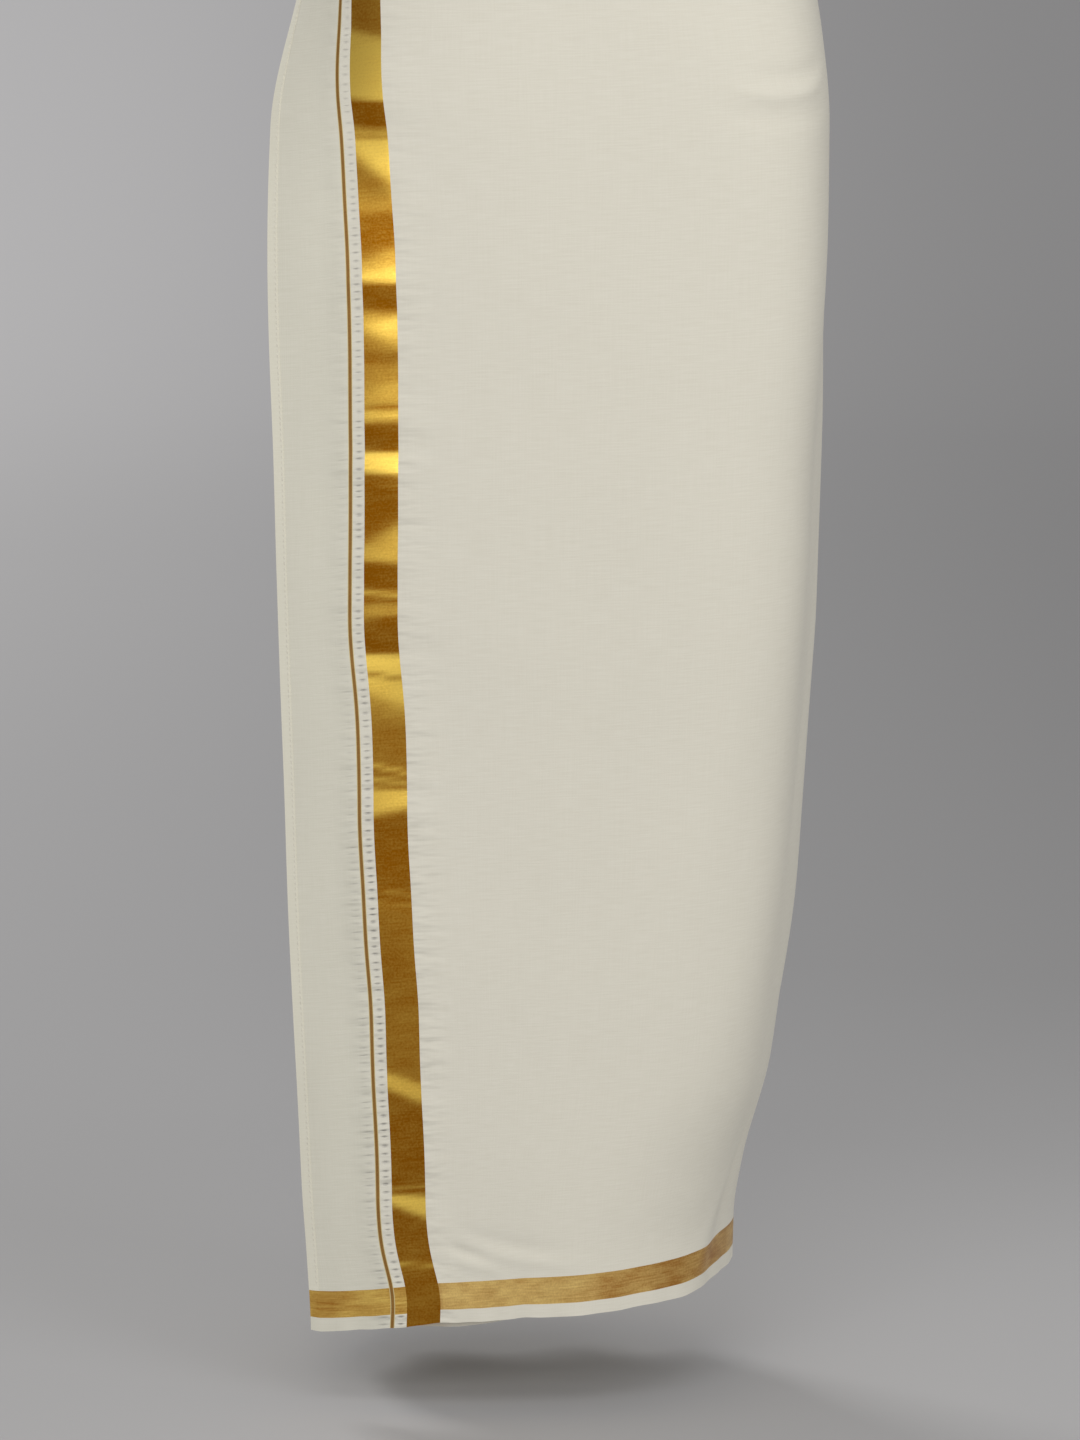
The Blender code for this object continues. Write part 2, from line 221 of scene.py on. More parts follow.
FOLDS = [
    Fold(*row)
    for row in (
        (3.1, 0.34, -0.005, -0.42, -0.72, 0.6, 0.05), (2.62, 0.26, 0.003, -0.4, -0.8, 1.0, 0.0),
        (3.8, 0.12, -0.004, -0.3, -0.46, 0.6, -0.06), (0.03, 0.12, 0.004, -0.28, -0.48, 0.7, -0.05),
        (0.27, 0.14, -0.007, -0.34, -0.7, 1.1, 0.05), (0.54, 0.15, 0.009, -0.36, -0.82, 1.3, 0.06),
        (0.8, 0.12, -0.0075, -0.46, -0.8, 1.2, 0.03), (1.04, 0.14, 0.0105, -0.4, -0.86, 1.3, 0.0),
        (1.34, 0.15, -0.0085, -0.44, -0.78, 1.1, -0.04), (1.61, 0.13, 0.008, -0.38, -0.84, 1.3, -0.05),
        (1.87, 0.13, -0.0055, -0.42, -0.76, 1.0, -0.04), (2.13, 0.14, 0.006, -0.38, -0.78, 1.0, -0.02),
    )
]


class Crease(NamedTuple):
    """A soft trough or ridge.

    turn and z are its middle, angle its slope in degrees (0 lies level, 90 stands upright), length and width
    its size, depth its height outwards, and bow how far its middle sags below its ends.
    """

    turn: float
    z: float
    angle: float
    length: float
    width: float
    depth: float
    bow: float


CREASES = [
    Crease(*row)
    for row in (
        (3.54, -0.199, 4, 0.058, 0.0048, 0.0019, 0.005), (3.53, -0.213, 2, 0.075, 0.0075, -0.001, 0.006),
        (3.57, -0.188, 8, 0.05, 0.0058, -0.0015, 0.003), (2.74, -0.954, -10, 0.036, 0.0036, -0.0015, 0.001),
        (2.77, -0.963, -10, 0.042, 0.0038, 0.0011, 0.001), (2.92, -0.957, -8, 0.09, 0.0036, 0.0009, 0.002),
        (2.9, -0.947, -9, 0.08, 0.005, -0.0009, 0.002), (3.86, -0.86, 72, 0.22, 0.015, -0.003, 0.01),
        (3.72, -0.905, 62, 0.17, 0.012, 0.0014, 0.008), (3.97, -0.23, 84, 0.24, 0.008, 0.0012, 0.004),
        (3.88, -0.56, 80, 0.26, 0.012, -0.0012, 0.006), (3.46, -0.7, 82, 0.3, 0.018, -0.0007, 0.008),
        (3.22, -0.52, 86, 0.34, 0.022, 0.0006, 0.008), (4.26, -0.15, -32, 0.16, 0.01, -0.0013, 0.008),
        (4.4, -0.205, -28, 0.2, 0.013, 0.0016, 0.01), (4.58, -0.285, -22, 0.22, 0.016, -0.0016, 0.012),
        (5.0, -0.345, 0, 0.26, 0.018, 0.0014, 0.016), (5.1, -0.42, 4, 0.24, 0.02, -0.0015, 0.014),
        (5.44, -0.28, 24, 0.22, 0.015, -0.0016, 0.012), (5.62, -0.21, 30, 0.19, 0.012, 0.0015, 0.01),
        (5.76, -0.15, 34, 0.15, 0.01, -0.0013, 0.008), (5.08, -0.11, 2, 0.15, 0.009, -0.0009, 0.008),
        (4.68, -0.125, -8, 0.12, 0.008, 0.0008, 0.006), (4.4, -0.64, 70, 0.2, 0.012, 0.0016, 0.01),
        (5.6, -0.62, -72, 0.21, 0.012, 0.0015, 0.01), (6.24, -0.26, 78, 0.19, 0.009, -0.0012, 0.008),
        (6.3, -0.56, 84, 0.26, 0.012, 0.0014, 0.008), (4.1, -0.42, 80, 0.22, 0.011, -0.0012, 0.006),
    )
]


class Glint(NamedTuple):
    """Where the gold band's tilt changes, from a height down, and with it the painted highlight and painted
    shade in the gold's colour.

    tone runs from -1, turned from the light and painted dark, to 1, turned to it and painted light. soft is
    the length over which it changes, and slant how much lower the change lies at the band's right edge than
    at its left.
    """

    z: float
    tone: float
    soft: float = 0.002
    slant: float = 0.0


# Painted highlight and painted shade of the gold band, which also set the tilt of its undulation
GLINTS = [
    Glint(*row)
    for row in (
        (-0.03, 0.5, 0.03), (-0.13, -0.4, 0.02, 0.012), (-0.165, 1.0, 0.006, 0.004),
        (-0.2075, -0.85, 0.002, 0.001), (-0.2245, 0.5), (-0.228, 0.1, 0.002, -0.001), (-0.2315, 0.95, 0.002),
        (-0.252, -0.25, 0.012, 0.016), (-0.268, 0.0, 0.01, -0.006), (-0.2785, -0.8, 0.004, -0.002),
        (-0.3045, 0.2, 0.008, -0.008), (-0.3135, 0.75, 0.004, -0.003), (-0.323, -0.85), (-0.34, 0.1, 0.003),
        (-0.3455, 0.7, 0.004, -0.004), (-0.358, -0.15, 0.01, 0.009), (-0.367, -0.5, 0.004),
        (-0.3735, -0.1, 0.004), (-0.389, 0.35, 0.012, -0.01), (-0.4005, -0.7, 0.0016, -0.001),
        (-0.403, 0.55, 0.003), (-0.412, -0.85, 0.004, -0.002), (-0.4305, 1.0), (-0.4455, -0.8, 0.003, 0.001),
        (-0.4505, 0.1, 0.0014), (-0.4525, -0.8, 0.0014), (-0.483, 0.45, 0.01, -0.014),
        (-0.5025, -0.85, 0.003, 0.001), (-0.5205, 0.65, 0.0016), (-0.5238, -0.75, 0.0016),
        (-0.5285, 0.1, 0.003), (-0.538, -0.9, 0.003, -0.002), (-0.561, 1.0, 0.0018),
        (-0.5745, 0.1, 0.0014, 0.003), (-0.577, 0.95, 0.0014, 0.003), (-0.592, 0.1, 0.01, 0.008),
        (-0.604, -0.4, 0.01, 0.006), (-0.6345, 0.5, 0.0018, 0.004), (-0.638, -0.5, 0.0018, 0.004),
        (-0.642, 0.45, 0.0018, 0.002), (-0.6455, -0.45, 0.0018), (-0.649, 0.8),
        (-0.6655, -0.8, 0.006, -0.005), (-0.7155, -0.1, 0.0014, 0.002), (-0.718, -0.7, 0.0014, 0.002),
        (-0.723, 0.0, 0.0014, 0.001), (-0.7255, -0.45, 0.003), (-0.8, -0.35, 0.03),
        (-0.839, 0.65, 0.004, 0.007), (-0.852, -0.75, 0.004, 0.008), (-0.9105, 0.1, 0.0014, -0.002),
        (-0.913, -0.7, 0.0014, -0.002), (-0.917, 1.0, 0.0016), (-0.929, -0.65, 0.004, 0.008),
        (-0.9625, 0.7, 0.0014, -0.001), (-0.965, -0.6, 0.0014, -0.001), (-1.02, -0.5),
    )
]


def unit(vectors: Array) -> Array:
    """The same directions with a length of 1."""
    return vectors / np.linalg.norm(vectors, axis=-1, keepdims=True)


def lengths_along(points: Array) -> Array:
    """Length along a row of points, up to each of them."""
    return np.concatenate([[0], np.cumsum(np.linalg.norm(np.diff(points, axis=0), axis=1))])


def ease(share: float) -> float:
    """A smooth step from 0 to 1."""
    share = min(max(share, 0.0), 1.0)
    return share * share * (3 - 2 * share)


def curve(share: Array, start: Array, leave: Array, end: Array, arrive: Array) -> Array:
    """Follows a smooth curve from one end to the other.

    Args:
        share: How far along, from 0 to 1.
        start: Its first end.
        leave: Its direction there.
        end: Its last end.
        arrive: Its direction there.

    Returns:
        The curve at each share.
    """
    square, cube = share**2, share**3
    return (
        (2 * cube - 3 * square + 1) * start
        + (cube - 2 * square + share) * leave
        + (3 * square - 2 * cube) * end
        + (cube - square) * arrive
    )


def smooth_lookup(rows: list, column: str, at: float) -> float:
    """Reads a table's column between its rows, on a smooth curve.

    Args:
        rows: The table's rows, in order of their first column.
        column: The column to read.
        at: What the first column is where it's read.

    Returns:
        The column's value there.
    """
    keys, values = zip(*sorted((row[0], getattr(row, column)) for row in rows))
    at = min(max(at, keys[0]), keys[-1])
    i = max(k for k in range(len(keys) - 1) if keys[k] <= at)
    rises = np.diff(values) / np.diff(keys)
    slopes = [0.0]
    for before, after in zip(rises, rises[1:]):
        slopes.append(2 * before * after / (before + after) if before * after > 0 else 0.0)
    slopes.append(0.0)
    span = keys[i + 1] - keys[i]
    return curve((at - keys[i]) / span, values[i], span * slopes[i], values[i + 1], span * slopes[i + 1])


def waves(across: Array, up: Array, *rows: tuple[float, float, float, float]) -> Array:
    """Sums sine waves over a surface.

    Args:
        across: Places across it.
        up: Places up it.
        *rows: Each wave's height, its rate across and its rate up, and its phase.

    Returns:
        The sum at each place.
    """
    return sum(height * np.sin(across * rate + up * rise + phase) for height, rate, rise, phase in rows)


def fold_depth(turns: Array, z: float) -> Array:
    """Works out how far the upright folds push the cloth out.

    Args:
        turns: Quarter turns.
        z: The height.

    Returns:
        The depth outwards at each turn.
    """
    depth = np.zeros_like(turns)
    for fold in FOLDS:
        grown = ease((fold.top - z) / (fold.top - fold.full))
        below = ease((fold.full - z) / (fold.full - HEM_LEVEL))
        strength = grown * (1 + (fold.end - 1) * below)
        centre = fold.at + fold.lean * (fold.top - z)
        away = (turns - centre + 2) % 4 - 2
        depth += fold.depth * strength * np.exp(-((away / fold.width) ** 2))
    return depth


class Outline:
    """The plan of the winding at one height."""

    def __init__(self, z: float) -> None:
        """Reads the section at a height and lays out its four quarters.

        Args:
            z: The height.
        """
        self.z = z
        self.section = Section(z, *(smooth_lookup(SECTIONS, name, z) for name in Section._fields[1:]))
        s = self.section
        self.middle = ((s.left + s.right) / 2, s.side)
        self.quarters = [
            self._quarter(s.right, s.back, BACK_CORNER, False),
            self._quarter(s.left, s.back, BACK_CORNER, True),
            self._quarter(s.left, s.front, LEFT_CORNER, False),
            self._quarter(s.right, s.front, s.corner, True),
        ]

    def _quarter(self, reach_x: float, reach_y: float, corner: float, from_y: bool) -> tuple[Array, Array]:
        """Lays out a quarter of the tube.

        Args:
            reach_x: Where it ends on the side.
            reach_y: Where it ends at the front or back.
            corner: How square it is.
            from_y: Whether it starts at the front or back.

        Returns:
            Shares of its length, with the points and outward normals there.
        """
        across, deep = reach_x - self.middle[0], reach_y - self.middle[1]
        angles = np.linspace(0, math.pi / 2, DENSE)
        cosine = np.cos(angles).clip(0) ** (2 / corner)
        sine = np.sin(angles) ** (2 / corner)
        cosine[-1] = 0.0
        points = np.stack([across * cosine, deep * sine], axis=1) + self.middle
        normals = unit(np.stack([cosine ** (corner - 1) / across, sine ** (corner - 1) / deep], axis=1))
        lines = np.hstack([points, normals])[:: -1 if from_y else 1]
        along = lengths_along(lines[:, :2])
        return along / along[-1], lines

    def tube(self, turns: Array) -> tuple[Array, Array]:
        """Finds the tube at quarter turns, before any fold.

        Args:
            turns: Quarter turns.

        Returns:
            The points and their outward normals.
        """
        found = np.empty((len(turns), 4))
        for quarter, (shares, lines) in enumerate(self.quarters):
            chosen = np.floor(turns).astype(int) % 4 == quarter
            for k in range(4):
                found[chosen, k] = np.interp(turns[chosen] % 1, shares, lines[:, k])
        return found[:, :2], unit(found[:, 2:])

    def wound(self, turns: Array) -> Array:
        """Points of the wound cloth: the tube with its folds and its place in the spiral."""
        points, normals = self.tube(turns)
        return points + normals * (self.section.gap * (4 - turns) / 4 + fold_depth(turns, self.z))[:, None]

    def flap(self) -> Array:
        """Works out the outer layer from the free edge to the middle of the front.

        Returns:
            Its points.
        """
        s = self.section
        share = np.linspace(1, 0, DENSE)
        hug = self.wound(FRONT_MARK - share * (FRONT_MARK - FLAP_HUG_END))
        start, end = hug[-1], np.array([s.flap_x, s.flap_y])
        reach, turn = np.linalg.norm(end - start), math.radians(s.turn)
        leave, arrive = np.array([-1.0, 0.0]), np.array([-math.cos(turn), math.sin(turn)])
        free = curve(share[:, None], start, leave * reach, end, arrive * reach)
        return hug + (free - hug) * s.hang


class Winding:
    """The wound cloth: where a place along it lies at each height."""

    def __init__(self) -> None:
        """Lays out the winding at many heights."""
        self.heights = np.linspace(0, LOWEST, LEVELS)
        wound = np.arange(FRONT_MARK, INNER_END_MARK + SPARE_TURNS, 1 / DENSE)[1:]
        self.turns = np.concatenate([np.linspace(FRONT_MARK - 1, FRONT_MARK, DENSE), wound])
        outlines = [Outline(z) for z in self.heights]
        self.points = np.array([np.concatenate([plan.flap(), plan.wound(wound)]) for plan in outlines])
        self.lengths = np.array([lengths_along(points) for points in self.points])
        window = np.hanning(2 * SWAY_REACH + 1)
        sways = np.pad([smooth_lookup(SWAYS, "value", z) for z in self.heights], SWAY_REACH, mode="edge")
        self.border = BAND_STOP + np.convolve(sways, window / window.sum(), mode="valid")

    def lengths_to(self, mark: float) -> Array:
        """Finds the length from the free edge to a mark.

        Args:
            mark: The mark.

        Returns:
            The length at every height of the layout.
        """
        if mark <= END_HEM:
            return np.full(LEVELS, mark)
        if mark < 1:
            return mark - BAND_STOP + self.border
        if mark >= FRONT_MARK:
            return np.array([np.interp(mark, self.turns, lengths) for lengths in self.lengths])
        return self.border + (mark - FLAP_MARK) * (self.lengths_to(FRONT_MARK) - self.border)

    def column(self, mark: float) -> Column:
        """Follows a mark from the waist to the hem.

        Args:
            mark: The mark.

        Returns:
            The column of cloth there.
        """
        lengths = self.lengths_to(mark)
        places = [
            [np.interp(lengths[k], self.lengths[k], self.points[k][:, axis]) for axis in (0, 1)]
            for k in range(LEVELS)
        ]
        lowest = int(np.argmin(np.abs(self.heights - HEM_LEVEL)))
        turn = float(np.interp(lengths[lowest], self.lengths[lowest], self.turns))
        middle = float(np.interp(-MIDDLE_LEVEL, -self.heights, lengths))
        return Column(np.array(places), self.heights, turn, mark if mark < 1 else middle)


@dataclass(frozen=True)
class Column:
    """One upright thread of the cloth: its plan at every height, its turn and its place along the cloth."""

    places: Array
    heights: Array
    turn: float
    along: float

    def points(self, heights: Array) -> Array:
        """Points of the column at some heights."""
        x, y = (np.interp(-heights, -self.heights, self.places[:, axis]) for axis in (0, 1))
        return np.stack([x, y, heights], axis=1)


@dataclass(frozen=True)
class Relief:
    """The small forms that lie on the wound cloth: creases, the band's undulation and the hem's ripple."""

    ripple_depth: float = 0.0011
    ripple_drop: float = 0.0007
    ripple_reach: float = 0.022
    ripple_lag: float = 0.21
    drift_depth: float = 0.00022
    gather_depth: float = 0.0008
    gather_reach: float = 0.050
    glint_step: float = 0.0005
    glint_slope: float = 0.075
    glint_settle: float = 0.045
    glint_left: float = 0.009
    glint_right: float = 0.020
    glint_end: float = 2.5

    @staticmethod
    def glint(along: Array, z: Array) -> Array:
        """Works out the gold band's tone, which tilts it and paints highlight and shade into its colour.

        Args:
            along: Lengths from the free edge.
            z: Heights.

        Returns:
            The tone at each place, from -1 to 1.
        """
        across = np.clip((along - BAND_START) / (BAND_STOP - BAND_START), -0.4, 1.4) - 0.5
        tone = np.full_like(z, GLINTS[0].tone)
        for before, row in zip(GLINTS, GLINTS[1:]):
            reached = np.tanh((row.z - row.slant * across - z) / (row.soft / 2))
            tone += (row.tone - before.tone) * (0.5 + 0.5 * reached)
        return tone

    @staticmethod
    def shade(along: Array) -> Array:
        """The hem's gold's painted highlight and shade, from -1 to 1, at lengths along the cloth."""
        return np.interp(along, *zip(*SHADES))

    @staticmethod
    def ripple(turns: Array) -> Array:
        """An uneven wave along the hem, from -1 to 1."""
        return waves(turns, 0.0, (0.5, 17.3, 0, 0.4), (0.3, 31.7, 0, 1.9), (0.2, 52.1, 0, 4.0))

    def _undulation(self, along: Array, z: Array) -> Array:
        """Works out the undulation in and beside the gold band, which the tones come from.

        Args:
            along: Lengths from the free edge, the same in every row.
            z: Heights.

        Returns:
            The depth outwards at each place.
        """
        heights = np.arange(0.0, LOWEST, -self.glint_step)
        window = int(self.glint_settle / self.glint_step)
        kernel = np.hanning(2 * window + 1)
        kernel /= kernel.sum()
        depth = np.zeros_like(z)
        for column, place in enumerate(along[0]):
            left = max(BAND_START - place, 0) / self.glint_left
            right = max(place - BAND_STOP, 0) / self.glint_right
            if max(left, right) > self.glint_end:
                continue
            tone = self.glint(np.full_like(heights, place), heights)
            raised = np.cumsum(tone - tone.mean()) * self.glint_step * self.glint_slope
            settled = np.convolve(np.pad(raised, window, mode="edge"), kernel, mode="valid")
            fade = math.exp(-(left**2) - right**2)
            depth[:, column] = np.interp(-z[:, column], -heights, raised - settled) * fade
        return depth

    @staticmethod
    def _creases(turns: Array, z: Array) -> Array:
        """Adds up the listed creases.

        Args:
            turns: Quarter turns.
            z: Heights.

        Returns:
            The depth outwards at each place.
        """
        depth = np.zeros_like(z)
        for crease in CREASES:
            across = (turns - crease.turn) * QUARTER
            up = z - crease.z
            angle = math.radians(crease.angle)
            lengthwise = (across * math.cos(angle) + up * math.sin(angle)) / (crease.length / 2)
            sideways = up * math.cos(angle) - across * math.sin(angle)
            sideways = (sideways + crease.bow * (1 - lengthwise**2)) / crease.width
            depth += crease.depth * np.exp(-(sideways**2) - lengthwise**4)
        return depth

    def _gathers(self, turns: Array, z: Array) -> Array:
        """Works out the uneven upright puckers under the rolled waist.

        Args:
            turns: Quarter turns.
            z: Heights.

        Returns:
            The depth outwards at each place.
        """
        fan = turns + 0.5 * (z + ROLL_HEIGHT) * np.sin(turns * 5.0)
        wave = waves(fan, 0.0, (0.45, 37.0, 0, 0.5), (0.35, 61.0, 0, 2.2), (0.20, 97.0, 0, 4.1))
        uneven = 0.65 + 0.35 * np.sin(turns * 7.7 + 1.0)
        reach = self.gather_reach * (0.8 + 0.3 * np.sin(turns * 23.0))
        return self.gather_depth * wave * uneven * np.exp(-(((z + ROLL_HEIGHT) / reach) ** 2))

    def depth(self, along: Array, above: Array, z: Array, turns: Array) -> Array:
        """Adds up every small form.

        Args:
            along: Length from the free edge.
            above: Height above the hem.
            z: Height in the frame.
            turns: Quarter turns.

        Returns:
            The depth outwards at each place.
        """
        hem = self.ripple_depth * self.ripple(turns + self.ripple_lag) * np.exp(-above / self.ripple_reach)
        drift = waves(turns, z, (1, 9.1, 21.0, 0), (0.7, 15.7, -34.0, 1.3), (0.5, 4.3, 57.0, 2.1))
        small = hem + self.drift_depth * drift + self._gathers(turns, z)
        return self._undulation(along, z) + self._creases(turns, z) + small


@dataclass
class Stretch:
    """A stretch of the winding, as one fine grid that its strips are cut from.

    rows counts the grid's steps up the selvedge, the band and the wall.
    """

    marks: list[float]
    rows: tuple[int, int, int]
    relief: Relief
    top: float = -ROLL_HEIGHT + 0.005
    pad: float = 0.02
    points: Array = field(init=False)
    normals: Array = field(init=False)
    along: Array = field(init=False)
    above: Array = field(init=False)
    glint: Array = field(init=False)

    def lay_out(self, winding: Winding) -> None:
        """Finds the grid's points, normals and places on the cloth.

        Args:
            winding: The wound cloth.
        """
        before = [self.marks[0] - self.pad] if self.marks[0] >= FRONT_MARK else []
        columns = [winding.column(mark) for mark in [*before, *self.marks, self.marks[-1] + self.pad]]
        selvedge, band, wall = self.rows
        low = np.linspace(0, HEM_SELVEDGE, selvedge + 1)
        low = np.concatenate([low, np.linspace(HEM_SELVEDGE, BAND_HIGH, band + 1)[1:]])
        shares = np.linspace(0, 1, wall + 1)[1:]
        points, above = [], []
        for column in columns:
            edge = smooth_lookup(HEMS, "value", column.turn)
            raised = np.concatenate([low, BAND_HIGH + shares * (self.top - edge - BAND_HIGH)])
            ripple = self.relief.ripple_drop * self.relief.ripple(column.turn)
            points.append(column.points(edge + raised + ripple * np.exp(-raised / self.relief.ripple_reach)))
            above.append(raised)
        grid, above = np.array(points).transpose(1, 0, 2), np.array(above).T
        along = np.broadcast_to([column.along for column in columns], above.shape)
        turns = np.broadcast_to([column.turn for column in columns], above.shape)
        depth = self.relief.depth(along, above, grid[:, :, 2], turns)
        grid = grid + self._grid_normals(grid) * depth[:, :, None]
        normals = self._grid_normals(grid)
        kept = slice(len(before), -1)
        self.points, self.normals = grid[:, kept], normals[:, kept]
        self.along, self.above = along[:, kept], above[:, kept]
        # The glint attribute is painted highlight and painted shade for the gold: the band's tone, and SHADES
        # on the hem
        on_hem = (self.above <= BAND_HIGH) & ((self.along < LINE_START) | (self.along > BAND_STOP))
        on_band = self.relief.glint(self.along, self.points[:, :, 2])
        self.glint = np.where(on_hem, self.relief.shade(self.along), on_band)

    @staticmethod
    def _grid_normals(grid: Array) -> Array:
        """Outward normals of a grid of points."""
        return unit(np.cross(np.gradient(grid, axis=1), np.gradient(grid, axis=0)))

    def index(self, mark: float) -> int:
        """The column that stands at a mark."""
        return min(range(len(self.marks)), key=lambda k: abs(self.marks[k] - mark))

    def cut(self, start: float, stop: float, reach: Reach) -> tuple[slice, slice]:
        """The grid's rows and columns that a strip covers."""
        low, high = (sum(self.rows[:count]) for count in reach.value)
        return slice(low, high + 1), slice(self.index(start), self.index(stop) + 1)


@dataclass(frozen=True)
class Strip:
    """One woven strip of cloth, cut from a stretch and given its real thickness."""

    name: str
    nodes: tuple[str, ...]
    start: float
    stop: float
    reach: Reach
    slot: Slot
    finish: Material
    thickness: float = 0.0006

    def flat_size(self, stretch: Stretch) -> tuple[float, float]:
        """Mean width and height of the strip, laid flat."""
        points = stretch.points[stretch.cut(self.start, self.stop, self.reach)]
        return tuple(float(np.linalg.norm(np.diff(points, axis=k), axis=2).sum(k).mean()) for k in (1, 0))

    def build(self, stretch: Stretch) -> Object:
        """Makes the strip's mesh and hands it to the frame.

        Args:
            stretch: The stretch that it is cut from.

        Returns:
            The finished piece.
        """
        cut = stretch.cut(self.start, self.stop, self.reach)
        piece = shell(self.name, stretch.points[cut], stretch.normals[cut], self.thickness, self.finish)
        corners = np.empty(len(piece.data.loops), dtype=np.int32)
        piece.data.loops.foreach_get("vertex_index", corners)
        flat = np.stack([stretch.along[cut], stretch.above[cut]], axis=2).reshape(-1, 2)
        write_places(piece, np.tile(flat, (2, 1))[corners], np.tile(stretch.glint[cut].ravel(), 2))
        hand_over(piece, self.slot, *self.nodes)
        return piece


def place(name: str, data: ID) -> Object:
    """Adds an object to the scene.

    Args:
        name: The object's name.
        data: Its mesh, light or camera.

    Returns:
        The object.
    """
    made = bpy.data.objects.new(name, data)
    bpy.context.scene.collection.objects.link(made)
    return made


def make_piece(name: str, points: list, faces: list, finish: Material) -> Object:
    """Makes a smooth mesh and adds it to the scene.

    Args:
        name: The piece's name.
        points: Its points.
        faces: The points of each face.
        finish: Its material.

    Returns:
        The new object.
    """
    mesh = bpy.data.meshes.new(name)
    mesh.from_pydata(points, [], faces)
    mesh.shade_smooth()
    mesh.materials.append(finish)
    return place(name, mesh)


def ring_faces(near: Array, far: Array) -> list:
    """The faces between rings of points, each of which closes on itself."""
    corners = [near, far, np.roll(far, -1, axis=1), np.roll(near, -1, axis=1)]
    return np.stack(corners, axis=-1).reshape(-1, 4).tolist()


def write_places(piece: Object, places: Array, glints: Array) -> None:
    """Writes where a piece lies on the flat cloth, and its gold's painted highlight and painted shade.

    Args:
        piece: The piece.
        places: Length along the cloth and height above the hem, in metres, for each corner of each face.
        glints: The gold's tone at each point, from -1 for painted shade to 1 for painted highlight.
    """
    layer = piece.data.uv_layers.new(name=UV_NAME)
    layer.uv.foreach_set("vector", places.astype(np.float32).ravel())
    attribute = piece.data.attributes.new(GLINT_NAME, "FLOAT", "POINT")
    attribute.data.foreach_set("value", glints.astype(np.float32))


def hand_over(piece: Object, slot: Slot, *nodes: str) -> None:
    """Hands a piece to the frame.

    Args:
        piece: The finished piece.
        slot: Its material slot; not used.
        *nodes: The nodes that it takes the place of.
    """
    if nodes:
        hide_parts(*nodes)
    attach(piece, BODY)
    LOG.info("%s: %d faces", piece.name, len(piece.data.polygons))


def shell(name: str, points: Array, normals: Array, thickness: float, finish: Material) -> Object:
    """Makes a thin closed shell round a grid of points.

    Args:
        name: The piece's name.
        points: Its middle surface, as rows of points.
        normals: The outward normals there.
        thickness: Its thickness.
        finish: Its material.

    Returns:
        The new object, with smooth sides and crisp rims.
    """
    index = np.arange(points[..., 0].size).reshape(points.shape[:2])
    back = index + index.size
    both = [points + normals * thickness / 2, points - normals * thickness / 2]
    vertices = np.concatenate(both).reshape(-1, 3)
    sides = np.stack([index[:-1, :-1], index[:-1, 1:], index[1:, 1:], index[1:, :-1]], axis=-1)
    sides = sides.reshape(-1, 4)
    faces = [sides, sides[:, ::-1] + index.size]
    for edge, rear in (
        (index[0, ::-1], back[0, ::-1]),
        (index[-1], back[-1]),
        (index[:, 0], back[:, 0]),
        (index[::-1, -1], back[::-1, -1]),
    ):
        faces.append(np.stack([edge[:-1], edge[1:], rear[1:], rear[:-1]], axis=-1))
    faces = np.concatenate(faces)
    piece = make_piece(name, vertices.tolist(), faces.tolist(), finish)
    directions = np.concatenate([normals, -normals]).reshape(-1, 3)
    loops = directions[faces.ravel()].reshape(-1, 4, 3)
    corners = vertices[faces[2 * len(sides) :]]
    rims = unit(np.cross(corners[:, 2] - corners[:, 0], corners[:, 3] - corners[:, 1]))
    loops[2 * len(sides) :] = rims[:, None]
    piece.data.normals_split_custom_set(loops.reshape(-1, 3).tolist())
    return piece


